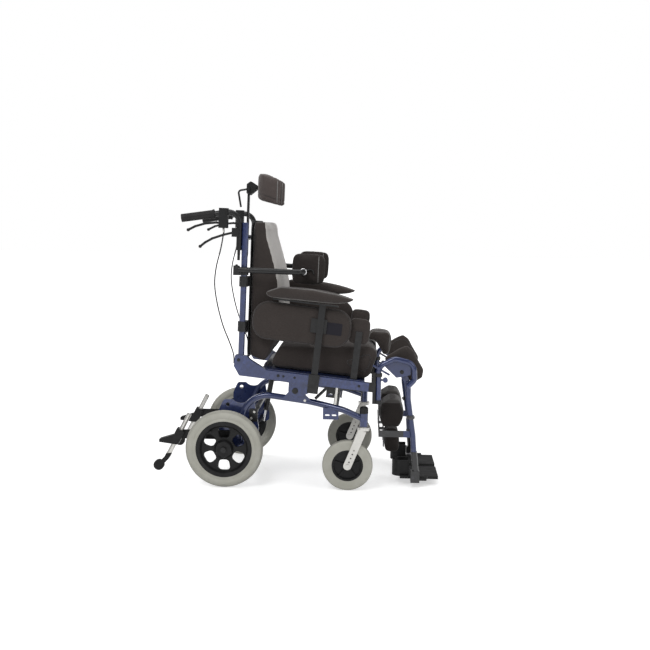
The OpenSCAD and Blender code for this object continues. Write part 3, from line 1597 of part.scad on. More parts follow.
module footplate() {
    knuckle_back = hinge_back + hinge_l + seat_gap;
    color(dark_plastic) leg_place() difference() {
        union() {
            translate([foot_back, foot_inner, foot_h - foot_t / 2])
                cube([foot_l, foot_w - foot_web, foot_t]);
            translate([knuckle_back, foot_axis_y, foot_h]) rotate([0, 90, 0])
                cylinder(r = knuckle_out_r, h = hinge_knuckle_l);
            translate([knuckle_back, foot_axis_y, foot_h - foot_t / 2])
                cube([hinge_knuckle_l, foot_web, foot_t]);
            heel_cup();
        }
        translate([hinge_back, foot_axis_y, foot_h]) rotate([0, 90, 0])
            cylinder(r = foot_pin_r + running_gap, h = hinge_l + hinge_knuckle_l + 2 * overrun);
        translate([hinge_back - seat_gap, foot_axis_y - knuckle_out_r, foot_h - 2 * knuckle_out_r])
            cube([hinge_l + 2 * seat_gap, 2 * knuckle_out_r + seat_gap, heel_h]);
    }
}

base_side_frames();
base_cross_tubes();
castor_caps();
axles_and_pins();
anti_tip_clamps();
rear_tyre();  // rear_tyre_right
left_side() rear_tyre();  // rear_tyre_left
rear_rim();  // rear_rim_right
left_side() rear_rim();  // rear_rim_left
castor_fork();  // castor_fork_right
left_side() castor_fork();  // castor_fork_left
castor_tyre();  // castor_tyre_right
left_side() castor_tyre();  // castor_tyre_left
castor_rim();  // castor_rim_right
left_side() castor_rim();  // castor_rim_left
anti_tip_tube();  // anti_tip_tube_right
left_side() anti_tip_tube();  // anti_tip_tube_left
anti_tip_wheel();  // anti_tip_wheel_right
left_side() anti_tip_wheel();  // anti_tip_wheel_left
gas_spring_rod();
gas_spring_cylinder();
seat_frame();
seat_sockets();
stop_posts();
seat_cushion();
pommel();
hip_pads();
back_frame();
back_clamps();
back_shell();
back_cushion();
push_handles();
hand_grips();
brake_cables();
brake_lever();  // brake_lever_right
left_side() brake_lever();  // brake_lever_left
tilt_lever();
headrest_stem();
headrest_bracket();
headrest_pad();
trunk_arm();  // trunk_arm_right
left_side() trunk_arm();  // trunk_arm_left
trunk_pad();  // trunk_pad_right
left_side() trunk_pad();  // trunk_pad_left
armrest();  // armrest_right
left_side() armrest();  // armrest_left
arm_pad();  // arm_pad_right
left_side() arm_pad();  // arm_pad_left
side_panel();  // side_panel_right
left_side() side_panel();  // side_panel_left
legrest_hanger();  // legrest_hanger_right
left_side() legrest_hanger();  // legrest_hanger_left
leg_tube();  // leg_tube_right
left_side() leg_tube();  // leg_tube_left
calf_pad();  // calf_pad_right
left_side() calf_pad();  // calf_pad_left
knee_pad();  // knee_pad_right
left_side() knee_pad();  // knee_pad_left
footplate();  // footplate_right
left_side() footplate();  // footplate_left
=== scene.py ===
import math

import bmesh
import bpy
from mathutils import Matrix, Vector
from mathutils.bvhtree import BVHTree


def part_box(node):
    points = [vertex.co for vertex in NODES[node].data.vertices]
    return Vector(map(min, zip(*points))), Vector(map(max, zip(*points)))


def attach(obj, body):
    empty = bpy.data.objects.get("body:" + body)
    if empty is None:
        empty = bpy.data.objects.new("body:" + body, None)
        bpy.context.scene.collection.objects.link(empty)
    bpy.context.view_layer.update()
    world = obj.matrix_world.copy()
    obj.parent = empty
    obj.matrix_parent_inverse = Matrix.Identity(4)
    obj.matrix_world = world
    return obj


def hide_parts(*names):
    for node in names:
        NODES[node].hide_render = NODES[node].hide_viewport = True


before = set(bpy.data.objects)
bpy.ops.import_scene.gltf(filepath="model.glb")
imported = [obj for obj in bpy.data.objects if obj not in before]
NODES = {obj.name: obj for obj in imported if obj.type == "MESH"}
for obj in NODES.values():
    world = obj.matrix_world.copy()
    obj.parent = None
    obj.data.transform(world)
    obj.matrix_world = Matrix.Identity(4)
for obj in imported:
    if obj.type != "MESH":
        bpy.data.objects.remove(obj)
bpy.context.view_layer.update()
SIDES = (("right", 1), ("left", -1))

# The chair's own frames, in millimetres. Their places are turned into metres of the row frame
MM = 1000
MIDDLE = 281.55
SEAT_X = 277
SEAT_Z = 386
PITCH = math.radians(6.1)
BACK_S = -229
BACK_H = 111
LEAN = math.radians(4.4)
KNEE_S = 327
KNEE_Y = -240
KNEE_H = 57


def base(x, y, z):
    """A place on the base: ahead of the rear axle, across, and up from the floor."""
    return Vector(((x - MIDDLE) / MM, y / MM, z / MM))


def seat(s, y, h):
    """A place in the seat's frame: along the seat, across, and up from it."""
    x = SEAT_X + s * math.cos(PITCH) + h * math.sin(PITCH)
    z = SEAT_Z - s * math.sin(PITCH) + h * math.cos(PITCH)
    return base(x, y, z)


def back(b, y, c):
    """A place in the back's frame: ahead of the back, across, and up along it."""
    s = BACK_S + b * math.cos(LEAN) - c * math.sin(LEAN)
    h = BACK_H + b * math.sin(LEAN) + c * math.cos(LEAN)
    return seat(s, y, h)


def leg(ahead, y, up):
    """A place from the right knee, with the row frame's directions."""
    return seat(KNEE_S, KNEE_Y, KNEE_H) + Vector((ahead / MM, y / MM, up / MM))


def direction(place, d):
    return (place(*d) - place(0, 0, 0)).normalized()


def mirrored(v, side):
    return Vector((v.x, v.y * side, v.z))


# Camera: fitted to both sides of the chair in the photograph
SENSOR = 36
PHOTO_SIDE = 650
FOCAL_PIXELS = 940
YAW = math.radians(2.39)
DIP = math.radians(5.96)
ROLL = math.radians(0.79)
CAMERA_PLACE = Vector((0.547 - MIDDLE / MM, -3.926, 1.038))

cam_data = bpy.data.cameras.new("camera")
cam_data.sensor_width = SENSOR
cam_data.lens = FOCAL_PIXELS / PHOTO_SIDE * SENSOR
cam = bpy.data.objects.new("camera", cam_data)
bpy.context.collection.objects.link(cam)
look = Vector((-math.sin(YAW) * math.cos(DIP), math.cos(YAW) * math.cos(DIP), -math.sin(DIP)))
flat_right = look.cross(Vector((0, 0, 1))).normalized()
flat_up = flat_right.cross(look)
right = flat_right * math.cos(ROLL) + flat_up * math.sin(ROLL)
up = flat_up * math.cos(ROLL) - flat_right * math.sin(ROLL)
turn = Matrix((right, up, -look)).transposed().to_4x4()
cam.matrix_world = Matrix.Translation(CAMERA_PLACE) @ turn
bpy.context.scene.camera = cam


# Materials
def tree(name):
    mat = bpy.data.materials.new(name)
    mat.use_nodes = True
    nt = mat.node_tree
    nt.nodes.clear()
    out = nt.nodes.new("ShaderNodeOutputMaterial")
    bsdf = nt.nodes.new("ShaderNodeBsdfPrincipled")
    nt.links.new(bsdf.outputs[0], out.inputs[0])
    return mat, nt, bsdf


def node(nt, kind, **values):
    n = nt.nodes.new(kind)
    for key, value in values.items():
        setattr(n, key, value)
    return n


def coords(nt):
    return node(nt, "ShaderNodeTexCoord").outputs["Object"]


def noise(nt, scale, detail=3, rough=0.5, vector=None):
    n = node(nt, "ShaderNodeTexNoise")
    n.inputs["Scale"].default_value = scale
    n.inputs["Detail"].default_value = detail
    n.inputs["Roughness"].default_value = rough
    nt.links.new(vector or coords(nt), n.inputs["Vector"])
    return n.outputs["Fac"]


def remap(nt, value, low, high, to_low=0.0, to_high=1.0):
    n = node(nt, "ShaderNodeMapRange")
    n.inputs["From Min"].default_value = low
    n.inputs["From Max"].default_value = high
    n.inputs["To Min"].default_value = to_low
    n.inputs["To Max"].default_value = to_high
    nt.links.new(value, n.inputs["Value"])
    return n.outputs[0]


def sums(nt, op, a, b=None, clamp=False):
    n = node(nt, "ShaderNodeMath", operation=op, use_clamp=clamp)
    for k, v in enumerate((a, b)):
        if v is None:
            continue
        if isinstance(v, (int, float)):
            n.inputs[k].default_value = v
        else:
            nt.links.new(v, n.inputs[k])
    return n.outputs[0]


def mix(nt, factor, a, b):
    n = node(nt, "ShaderNodeMix", data_type="RGBA")
    for socket, value in ((n.inputs[0], factor), (n.inputs[6], a), (n.inputs[7], b)):
        if isinstance(value, (int, float)):
            socket.default_value = value
        elif isinstance(value, (tuple, list)):
            socket.default_value = (*value, 1)
        else:
            nt.links.new(value, socket)
    return n.outputs[2]


def bump(nt, bsdf, height, strength, distance):
    n = node(nt, "ShaderNodeBump")
    n.inputs["Strength"].default_value = strength
    n.inputs["Distance"].default_value = distance
    nt.links.new(height, n.inputs["Height"])
    nt.links.new(n.outputs[0], bsdf.inputs["Normal"])


def edge_wear(nt, low=0.52, high=0.62):
    g = node(nt, "ShaderNodeNewGeometry")
    edge = remap(nt, g.outputs["Pointiness"], low, high)
    return sums(nt, "MULTIPLY", edge, remap(nt, noise(nt, 60, 4, 0.6), 0.42, 0.62), clamp=True)


def shade(color, k):
    return tuple(min(1, c * k) for c in color)


def coat_paint(name, color, metallic, rough, coat, wear):
    mat, nt, b = tree(name)
    flake = noise(nt, 900, 2, 0.7)
    cloud = noise(nt, 9, 3)
    c = mix(nt, remap(nt, flake, 0.35, 0.7), shade(color, 0.86), shade(color, 1.22))
    c = mix(nt, remap(nt, cloud, 0.3, 0.75, 0, 0.35), c, shade(color, 0.7))
    c = mix(nt, sums(nt, "MULTIPLY", edge_wear(nt), wear), c, shade(color, 3.2))
    nt.links.new(c, b.inputs["Base Color"])
    b.inputs["Metallic"].default_value = metallic
    nt.links.new(remap(nt, noise(nt, 35, 4), 0.3, 0.7, rough * 0.85, rough * 1.2), b.inputs["Roughness"])
    b.inputs["Coat Weight"].default_value = coat
    b.inputs["Coat Roughness"].default_value = 0.12
    b.inputs["Specular IOR Level"].default_value = 0.3
    bump(nt, b, noise(nt, 260, 2), 0.08, 0.0006)
    return mat


def moulded(name, color, rough, grain=1400, depth=0.12, wear=0.4):
    mat, nt, b = tree(name)
    c = mix(nt, remap(nt, noise(nt, 14, 4), 0.3, 0.7), shade(color, 0.85), shade(color, 1.2))
    c = mix(nt, sums(nt, "MULTIPLY", edge_wear(nt), wear), c, shade(color, 4))
    nt.links.new(c, b.inputs["Base Color"])
    nt.links.new(remap(nt, noise(nt, 30, 4), 0.3, 0.7, rough * 0.85, rough * 1.15), b.inputs["Roughness"])
    b.inputs["Specular IOR Level"].default_value = 0.28
    bump(nt, b, noise(nt, grain, 2, 0.6), depth, 0.0004)
    return mat


def bare_metal(name, color, rough, along=(1, 1, 12)):
    mat, nt, b = tree(name)
    m = node(nt, "ShaderNodeMapping")
    m.inputs["Scale"].default_value = along
    nt.links.new(coords(nt), m.inputs["Vector"])
    streak = noise(nt, 120, 4, 0.6, m.outputs[0])
    c = mix(nt, remap(nt, streak, 0.3, 0.7), shade(color, 0.88), shade(color, 1.08))
    c = mix(nt, remap(nt, noise(nt, 18, 3), 0.45, 0.8, 0, 0.3), c, shade(color, 0.72))
    nt.links.new(c, b.inputs["Base Color"])
    b.inputs["Metallic"].default_value = 0.85
    nt.links.new(remap(nt, streak, 0.25, 0.75, rough * 0.8, rough * 1.25), b.inputs["Roughness"])
    bump(nt, b, streak, 0.06, 0.0004)
    return mat


def weave_height(nt, scale):
    heights = []
    for axis in ("X", "Y", "Z"):
        w = node(nt, "ShaderNodeTexWave", wave_type="BANDS", bands_direction=axis)
        w.inputs["Scale"].default_value = scale
        w.inputs["Distortion"].default_value = 0.6
        w.inputs["Detail"].default_value = 1
        w.inputs["Detail Scale"].default_value = 2
        nt.links.new(coords(nt), w.inputs["Vector"])
        heights.append(w.outputs["Fac"])
    return sums(nt, "MULTIPLY", sums(nt, "ADD", heights[0], heights[1]), heights[2])


def cloth_color(nt, color, spread=1.0):
    melange = noise(nt, 420, 2, 0.8)
    low = shade(color, 1 - 0.22 * spread)
    high = shade(color, 1 + 0.28 * spread)
    c = mix(nt, remap(nt, melange, 0.35, 0.65), low, high)
    return mix(nt, remap(nt, noise(nt, 7, 4, 0.6), 0.35, 0.7, 0, 0.4), c, shade(color, 0.75))


def finish_cloth(nt, b, c, sheen, scale=90.0):
    worn = node(nt, "ShaderNodeNewGeometry").outputs["Pointiness"]
    c = mix(nt, remap(nt, worn, 0.5, 0.62, 0, 0.16), c, (0.2, 0.185, 0.18))
    nt.links.new(c, b.inputs["Base Color"])
    b.inputs["Roughness"].default_value = 0.88
    b.inputs["Specular IOR Level"].default_value = 0.2
    b.inputs["Sheen Weight"].default_value = sheen
    b.inputs["Sheen Roughness"].default_value = 0.5
    height = sums(nt, "ADD", sums(nt, "MULTIPLY", weave_height(nt, scale), 0.5),
                  sums(nt, "MULTIPLY", noise(nt, 26, 4, 0.6), 0.9))
    bump(nt, b, height, 0.3, 0.0018)


def cloth(name, color, sheen=0.25):
    mat, nt, b = tree(name)
    finish_cloth(nt, b, cloth_color(nt, color), sheen)
    return mat


def cloth_with_painted_light(name, dark, light, place, rule):
    """Dark cloth with a lighter colour painted where a mask says: painted reflection and painted highlight.

    rule gets the point's place and normal in a chair frame, and returns a mask from 0 to 1.
    """
    mat, nt, b = tree(name)
    point = node(nt, "ShaderNodeVectorMath", operation="SUBTRACT")
    nt.links.new(coords(nt), point.inputs[0])
    point.inputs[1].default_value = place(0, 0, 0)
    normal = node(nt, "ShaderNodeTexCoord").outputs["Normal"]

    def along(vector, d):
        n = node(nt, "ShaderNodeVectorMath", operation="DOT_PRODUCT")
        nt.links.new(vector, n.inputs[0])
        n.inputs[1].default_value = direction(place, d)
        return n.outputs["Value"]

    def pair(d):
        return along(point.outputs[0], d), along(normal, d)

    mask = rule(nt, pair((1, 0, 0)), pair((0, 1, 0)), pair((0, 0, 1)))
    c = mix(nt, mask, cloth_color(nt, dark), cloth_color(nt, light, 0.5))
    finish_cloth(nt, b, c, 0.2)
    return mat


DARK = (0.044, 0.036, 0.033)
BROWN = (0.078, 0.063, 0.059)
PANEL = (0.043, 0.035, 0.032)
# Light grey for the back cushion's front: a painted reflection of the white surroundings, not a cloth colour
PAINTED_REFLECTION = (0.5, 0.48, 0.46)
BLUE = (0.02, 0.032, 0.105)

blue_paint = coat_paint("blue_paint_mat", BLUE, 0.35, 0.3, 0.9, 0.25)
black_metal = coat_paint("black_metal_mat", (0.007, 0.007, 0.0075), 0.1, 0.42, 0.2, 0.5)
black_plastic = moulded("black_plastic_mat", (0.006, 0.006, 0.0063), 0.5)
grip_rubber = moulded("grip_rubber_mat", (0.01, 0.0095, 0.01), 0.6, 700, 0.3, 0.15)
alloy = bare_metal("alloy_mat", (0.62, 0.61, 0.58), 0.36)
chrome = bare_metal("chrome_mat", (0.75, 0.75, 0.76), 0.12)
dark_cloth = cloth("dark_cloth_mat", DARK)
brown_cloth = cloth("brown_cloth_mat", BROWN)
panel_cloth = cloth("panel_cloth_mat", PANEL)
patch_cloth = cloth("patch_cloth_mat", (0.009, 0.009, 0.016), 0.05)
# Light grey piping: a painted highlight for the bright grazing reflection along piped edges
piping_highlit = cloth("piping_highlit_mat", (0.19, 0.185, 0.18))
black_cloth = cloth("black_cloth_mat", shade(DARK, 0.55), 0.12)
dark_piping = cloth("dark_piping_mat", (0.022, 0.02, 0.02))


TYRE_LOW = (0.41, 0.405, 0.35)
TYRE_HIGH = (0.48, 0.475, 0.425)
TREAD_DIRT = (0.2, 0.195, 0.175)
TREAD_EDGE = 0.0015
TREAD_BLOCKS = 110.0
WALL_RINGS = 900.0


def tyre_material(name, centre, width, tread_from, grooves):
    """Grey rubber with ribs and blocks beyond the tread's radius, and fine rings on its wall."""
    mat, nt, b = tree(name)
    xyz = node(nt, "ShaderNodeSeparateXYZ")
    nt.links.new(coords(nt), xyz.inputs[0])
    dx = sums(nt, "SUBTRACT", xyz.outputs["X"], centre.x)
    dz = sums(nt, "SUBTRACT", xyz.outputs["Z"], centre.z)
    dy = sums(nt, "SUBTRACT", xyz.outputs["Y"], centre.y)
    radius = sums(nt, "SQRT", sums(nt, "ADD", sums(nt, "MULTIPLY", dx, dx), sums(nt, "MULTIPLY", dz, dz)))
    tread = remap(nt, radius, tread_from, tread_from + TREAD_EDGE)
    ribs = sums(nt, "SINE", sums(nt, "MULTIPLY", dy, grooves * 2 * math.pi / width))
    blocks = sums(nt, "SINE", sums(nt, "MULTIPLY", sums(nt, "ARCTAN2", dz, dx), TREAD_BLOCKS))
    pattern = sums(nt, "ADD", remap(nt, ribs, -0.2, 0.2), remap(nt, blocks, -0.6, -0.2))
    cut = sums(nt, "MULTIPLY", pattern, tread)
    wall = sums(nt, "SINE", sums(nt, "MULTIPLY", radius, WALL_RINGS))
    c = mix(nt, remap(nt, noise(nt, 16, 5, 0.65), 0.35, 0.7), TYRE_LOW, TYRE_HIGH)
    c = mix(nt, sums(nt, "MULTIPLY", tread, 0.3), c, TREAD_DIRT)
    nt.links.new(c, b.inputs["Base Color"])
    b.inputs["Roughness"].default_value = 0.72
    height = sums(nt, "ADD", cut, sums(nt, "MULTIPLY", wall, 0.06))
    bump(nt, b, sums(nt, "ADD", height, sums(nt, "MULTIPLY", noise(nt, 500, 2), 0.1)), 0.6, 0.0012)
    return mat


EXTENSION_BLACK = (0.017, 0.017, 0.018)
WORN_BLUE = (0.2, 0.2, 0.26)


def leg_tube_material():
    """Blue tube with a black extension, clamp and bars: told apart by place."""
    mat, nt, b = tree("leg_tube_mat")
    xyz = node(nt, "ShaderNodeSeparateXYZ")
    nt.links.new(coords(nt), xyz.inputs[0])
    x, z = xyz.outputs["X"], xyz.outputs["Z"]
    y = sums(nt, "ABSOLUTE", xyz.outputs["Y"])
    extension_top = leg(0, 0, -262).z
    clamp_low, clamp_high = leg(0, 0, -131).z, leg(0, 0, -114).z
    bar_front, bar_top = leg(104, 0, 0).x, leg(0, 0, -50).z
    inner_side = abs(leg(0, 40, 0).y)
    is_extension = sums(nt, "LESS_THAN", z, extension_top)
    is_behind = sums(nt, "LESS_THAN", x, bar_front)
    is_bar = sums(nt, "MULTIPLY", is_behind, sums(nt, "LESS_THAN", z, bar_top))
    is_inner = sums(nt, "LESS_THAN", y, inner_side)
    is_over = sums(nt, "GREATER_THAN", z, clamp_low)
    is_clamp = sums(nt, "MULTIPLY", is_over, sums(nt, "LESS_THAN", z, clamp_high))
    low_or_bar = sums(nt, "MAXIMUM", is_extension, is_bar)
    black = sums(nt, "MAXIMUM", low_or_bar, sums(nt, "MAXIMUM", is_inner, is_clamp), clamp=True)
    flake = remap(nt, noise(nt, 900, 2, 0.7), 0.35, 0.7)
    blue = mix(nt, flake, shade(BLUE, 0.86), shade(BLUE, 1.22))
    c = mix(nt, black, blue, EXTENSION_BLACK)
    c = mix(nt, sums(nt, "MULTIPLY", edge_wear(nt), 0.25), c, WORN_BLUE)
    nt.links.new(c, b.inputs["Base Color"])
    b.inputs["Metallic"].default_value = 0.3
    nt.links.new(remap(nt, noise(nt, 35, 4), 0.3, 0.7, 0.3, 0.42), b.inputs["Roughness"])
    b.inputs["Coat Weight"].default_value = 0.5
    b.inputs["Coat Roughness"].default_value = 0.15
    bump(nt, b, noise(nt, 260, 2), 0.08, 0.0006)
    return mat


FOOT_RISE = 0.03
FOOT_BLACK = (0.006, 0.006, 0.006)
TUBE_LOW = (0.55, 0.54, 0.51)
TUBE_HIGH = (0.67, 0.66, 0.63)


def anti_tip_material():
    """Bright tube with a black moulded foot that holds the small wheel."""
    mat, nt, b = tree("anti_tip_tube_mat")
    xyz = node(nt, "ShaderNodeSeparateXYZ")
    nt.links.new(coords(nt), xyz.inputs[0])
    wheel_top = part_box("anti_tip_wheel_right")[1][2]
    low = sums(nt, "LESS_THAN", xyz.outputs["Z"], wheel_top + FOOT_RISE)
    streak = noise(nt, 120, 4, 0.6)
    bright = mix(nt, remap(nt, streak, 0.3, 0.7), TUBE_LOW, TUBE_HIGH)
    nt.links.new(mix(nt, low, bright, FOOT_BLACK), b.inputs["Base Color"])
    nt.links.new(remap(nt, low, 0, 1, 0.85, 0), b.inputs["Metallic"])
    nt.links.new(remap(nt, low, 0, 1, 0.36, 0.5), b.inputs["Roughness"])
    b.inputs["Specular IOR Level"].default_value = 0.28
    bump(nt, b, streak, 0.06, 0.0004)
    return mat


# Which material each CAD node wears. A name without a side stands for both sides
SURFACES = (
    (blue_paint, ("base_side_frames", "seat_frame", "back_frame", "legrest_hanger")),
    (black_metal, (
        "base_cross_tubes", "axles_and_pins", "gas_spring_cylinder", "seat_sockets", "back_clamps",
        "push_handles", "tilt_lever", "headrest_stem", "headrest_bracket", "brake_lever", "trunk_arm",
        "armrest",
    )),
    (black_plastic, ("castor_caps", "anti_tip_clamps", "back_shell", "rear_rim", "castor_rim", "footplate")),
    (grip_rubber, ("hand_grips", "brake_cables", "anti_tip_wheel")),
    (alloy, ("stop_posts", "castor_fork")),
    (chrome, ("gas_spring_rod",)),
)
# Tyre, centre on the right, width, radius where the tread starts, grooves
TYRES = (
    ("rear_tyre_", base(0, -275, 155), 0.042, 0.1465, 5),
    ("castor_tyre_", base(491, -272, 100), 0.034, 0.0975, 3),
)


def dress(name, material):
    slots = NODES[name].data.materials
    slots.clear()
    slots.append(material)


for material, names in SURFACES:
    for name in names:
        for full in ([name] if name in NODES else [name + "_right", name + "_left"]):
            dress(full, material)

for side, k in SIDES:
    for name, centre, width, tread_from, grooves in TYRES:
        tyre_mat = tyre_material(name + side + "_mat", mirrored(centre, k), width, tread_from, grooves)
        dress(name + side, tyre_mat)

for name, material in (("anti_tip_tube_", anti_tip_material()), ("leg_tube_", leg_tube_material())):
    for side, _k in SIDES:
        dress(name + side, material)


# Pieces
def piece(name, mesh, material, body):
    obj = bpy.data.objects.new(name, mesh)
    bpy.context.collection.objects.link(obj)
    obj.data.materials.clear()
    obj.data.materials.append(material)
    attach(obj, body)
    return obj


def smooth_all(mesh):
    mesh.polygons.foreach_set("use_smooth", [True] * len(mesh.polygons))
    mesh.update()


def evaluated(obj):
    dg = bpy.context.evaluated_depsgraph_get()
    return bpy.data.meshes.new_from_object(obj.evaluated_get(dg))


def with_modifier(obj, kind, **values):
    mod = obj.modifiers.new(kind.lower(), kind)
    for key, value in values.items():
        setattr(mod, key, value)
    mesh = evaluated(obj)
    obj.modifiers.remove(mod)
    old = obj.data
    obj.data = mesh
    bpy.data.meshes.remove(old)


def soften(mesh, times):
    bm = bmesh.new()
    bm.from_mesh(mesh)
    for _ in range(times):
        bmesh.ops.smooth_vert(bm, verts=bm.verts, factor=0.5,
                              use_axis_x=True, use_axis_y=True, use_axis_z=True)
    bm.to_mesh(mesh)
    bm.free()
    mesh.update()


def push(mesh, amount):
    normals = [v.normal.copy() for v in mesh.vertices]
    for v, n in zip(mesh.vertices, normals):
        v.co += n * amount
    mesh.update()


SIM_FRAMES = 20
SIM_PRESSURE = 4.0
SIM_QUALITY = 4
SIM_MASS = 0.3


def swell(obj, cap):
    """Swells a pad by a short cloth simulation with pressure. No point moves further than cap."""
    start = [v.co.copy() for v in obj.data.vertices]
    mod = obj.modifiers.new("puff", "CLOTH")
    mod.settings.use_pressure = True
    mod.settings.uniform_pressure_force = SIM_PRESSURE
    mod.settings.effector_weights.gravity = 0
    mod.settings.quality = SIM_QUALITY
    mod.settings.mass = SIM_MASS
    mod.point_cache.frame_start = 1
    mod.point_cache.frame_end = SIM_FRAMES
    scene = bpy.context.scene
    for f in range(1, SIM_FRAMES + 1):
        scene.frame_set(f)
    mesh = evaluated(obj)
    obj.modifiers.remove(mod)
    scene.frame_set(1)
    for v, s in zip(mesh.vertices, start):
        move = v.co - s
        if move.length > cap:
            v.co = s + move * (cap / move.length)
    old = obj.data
    obj.data = mesh
    bpy.data.meshes.remove(old)


def keep_inside(mesh, tree_of_node, allow):
    """No point stands further out of the CAD solid than allow(normal) says."""
    for v in mesh.vertices:
        near, normal, _i, _d = tree_of_node.find_nearest(v.co)
        out = (v.co - near).dot(normal)
        limit = allow(normal)
        if out > limit:
            v.co = near + normal * limit + (v.co - near - normal * out)
    mesh.update()


def room(out, *faces):
    """How far cloth may stand out of its solid: out, but nothing on faces turned against a direction."""
    return lambda n: 0.0 if any(n.dot(d) < limit for d, limit in faces) else out


LAST_ROUNDS = 3


def soft(cad, name, material, body, allow, voxel, shrink, cap, rounds=4, fill=0.8):
    """A padded piece made from its CAD solid.

    It is remeshed, shrunk, swollen by a cloth simulation and held to the solid's space.
    """
    source = NODES[cad]
    mesh = source.data.copy()
    mesh.transform(source.matrix_world)
    points = [v.co.copy() for v in mesh.vertices]
    solid = BVHTree.FromPolygons(points, [list(p.vertices) for p in mesh.polygons])
    obj = bpy.data.objects.new(name, mesh)
    bpy.context.collection.objects.link(obj)
    with_modifier(obj, "REMESH", mode="VOXEL", voxel_size=voxel, adaptivity=0)
    soften(obj.data, rounds)
    push(obj.data, -shrink)
    swell(obj, cap)
    soften(obj.data, LAST_ROUNDS)
    keep_inside(obj.data, solid, allow)
    with_modifier(obj, "SUBSURF", levels=1, render_levels=1)
    smooth_all(obj.data)
    obj.data.materials.clear()
    obj.data.materials.append(material)
    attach(obj, body)
    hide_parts(cad)
    return obj


def groove(obj, co, no, depth, width):
    """Presses a seam into a padded piece where a plane cuts it."""
    mesh = obj.data
    normals = [v.normal.copy() for v in mesh.vertices]
    for v, n in zip(mesh.vertices, normals):
        d = (v.co - co).dot(no)
        if abs(d) < 3 * width:
            v.co -= n * depth * math.exp(-(d / width) ** 2)
    mesh.update()


LEAST_LOOP = 12


def cut_loops(obj, co, no):
    """The closed outlines where a plane cuts a piece, as lists of points."""
    bm = bmesh.new()
    bm.from_mesh(obj.data)
    everything = bm.verts[:] + bm.edges[:] + bm.faces[:]
    cut = bmesh.ops.bisect_plane(bm, geom=everything, plane_co=co, plane_no=no, dist=1e-6)
    edges = [e for e in cut["geom_cut"] if isinstance(e, bmesh.types.BMEdge)]
    links = {}
    for e in edges:
        a, b = e.verts
        links.setdefault(a, []).append(b)
        links.setdefault(b, []).append(a)
    loops = []
    seen = set()
    for first in links:
        if first in seen:
            continue
        loop = []
        here, before = first, None
        while here is not None and here not in seen:
            seen.add(here)
            loop.append(here.co.copy())
            nexts = [v for v in links[here] if v is not before and v not in seen]
            before, here = here, (nexts[0] if nexts else None)
        if len(loop) > LEAST_LOOP:
            loops.append(loop)
    bm.free()
    return loops


def even(points, step, closed=True):
    """Points at even steps along a line, smoothed a little."""
    run = points + ([points[0]] if closed else [])
    total = sum((b - a).length for a, b in zip(run, run[1:]))
    count = max(8, int(total / step))
    out = []
    walked = 0.0
    k = 0
    for i in range(count):
        need = total * i / (count if closed else count - 1)
        while k < len(run) - 2 and walked + (run[k + 1] - run[k]).length < need:
            walked += (run[k + 1] - run[k]).length
            k += 1
        span = (run[k + 1] - run[k]).length or 1
        out.append(run[k].lerp(run[k + 1], min(1, (need - walked) / span)))
    for _ in range(3):
        n = len(out)
        if closed:
            out = [(out[i - 1] + out[i] * 2 + out[(i + 1) % n]) / 4 for i in range(n)]
        else:
            inner = [(out[i - 1] + out[i] * 2 + out[i + 1]) / 4 for i in range(1, n - 1)]
            out = [out[0]] + inner + [out[-1]]
    return out


def tube(name, points, radius, material, body, closed=False, sides=8):
    """A round tube along a line, as a mesh. radius is a number, or a function of the share of its length."""
    n = len(points)
    tangents = []
    for i in range(n):
        a = points[i - 1] if closed or i > 0 else points[i]
        b = points[(i + 1) % n] if closed or i < n - 1 else points[i]
        tangents.append((b - a).normalized())
    side = tangents[0].orthogonal().normalized()
    verts = []
    faces = []
    for i in range(n):
        side = (side - tangents[i] * side.dot(tangents[i])).normalized()
        other = tangents[i].cross(side)
        r = radius(i / (n - 1)) if callable(radius) else radius
        for k in range(sides):
            t = 2 * math.pi * k / sides
            verts.append(points[i] + (side * math.cos(t) + other * math.sin(t)) * r)

    def seam_length(q):
        last = verts[(n - 1) * sides:]
        return sum((last[k] - verts[(k + q) % sides]).length for k in range(sides))

    for i in range(n if closed else n - 1):
        j = (i + 1) % n
        shift = min(range(sides), key=seam_length) if closed and j == 0 else 0
        for k in range(sides):
            a, b = i * sides + k, i * sides + (k + 1) % sides
            faces.append((a, b, j * sides + (k + 1 + shift) % sides, j * sides + (k + shift) % sides))
    if not closed:
        faces.append(tuple(range(sides - 1, -1, -1)))
        faces.append(tuple((n - 1) * sides + k for k in range(sides)))
    mesh = bpy.data.meshes.new(name)
    mesh.from_pydata([tuple(v) for v in verts], [], faces)
    smooth_all(mesh)
    return piece(name, mesh, material, body)


PIPING_LIFT = 0.3
PIPING_STEP = 0.006
PIPING_SIDES = 6
SEAM_DEPTH = 0.0012
SEAM_WIDTH = 0.004


def piping(obj, name, co, no, radius, material, body):
    """Sewn piping where a plane cuts a padded piece, in a pressed seam."""
    no = no.normalized()
    groove(obj, co, no, SEAM_DEPTH, SEAM_WIDTH)
    for made, loop in enumerate(cut_loops(obj, co, no)):
        points = even(loop, PIPING_STEP)
        centre = sum(points, Vector()) / len(points)
        out = [p + (p - centre).normalized() * radius * PIPING_LIFT for p in points]
        tube("%s_%d" % (name, made), out, radius, material, body, closed=True, sides=PIPING_SIDES)


def piping_each_side(obj, name, place, ahead, out, up, radius, material):
    """Piping on both sides of a middle pad of the seat, out millimetres from its centre."""
    for side, k in SIDES:
        piping(obj, name + "_" + side, place(ahead, -k * out, up), ACROSS, radius, material, "seat")


ROUND = 24
HEX = 6


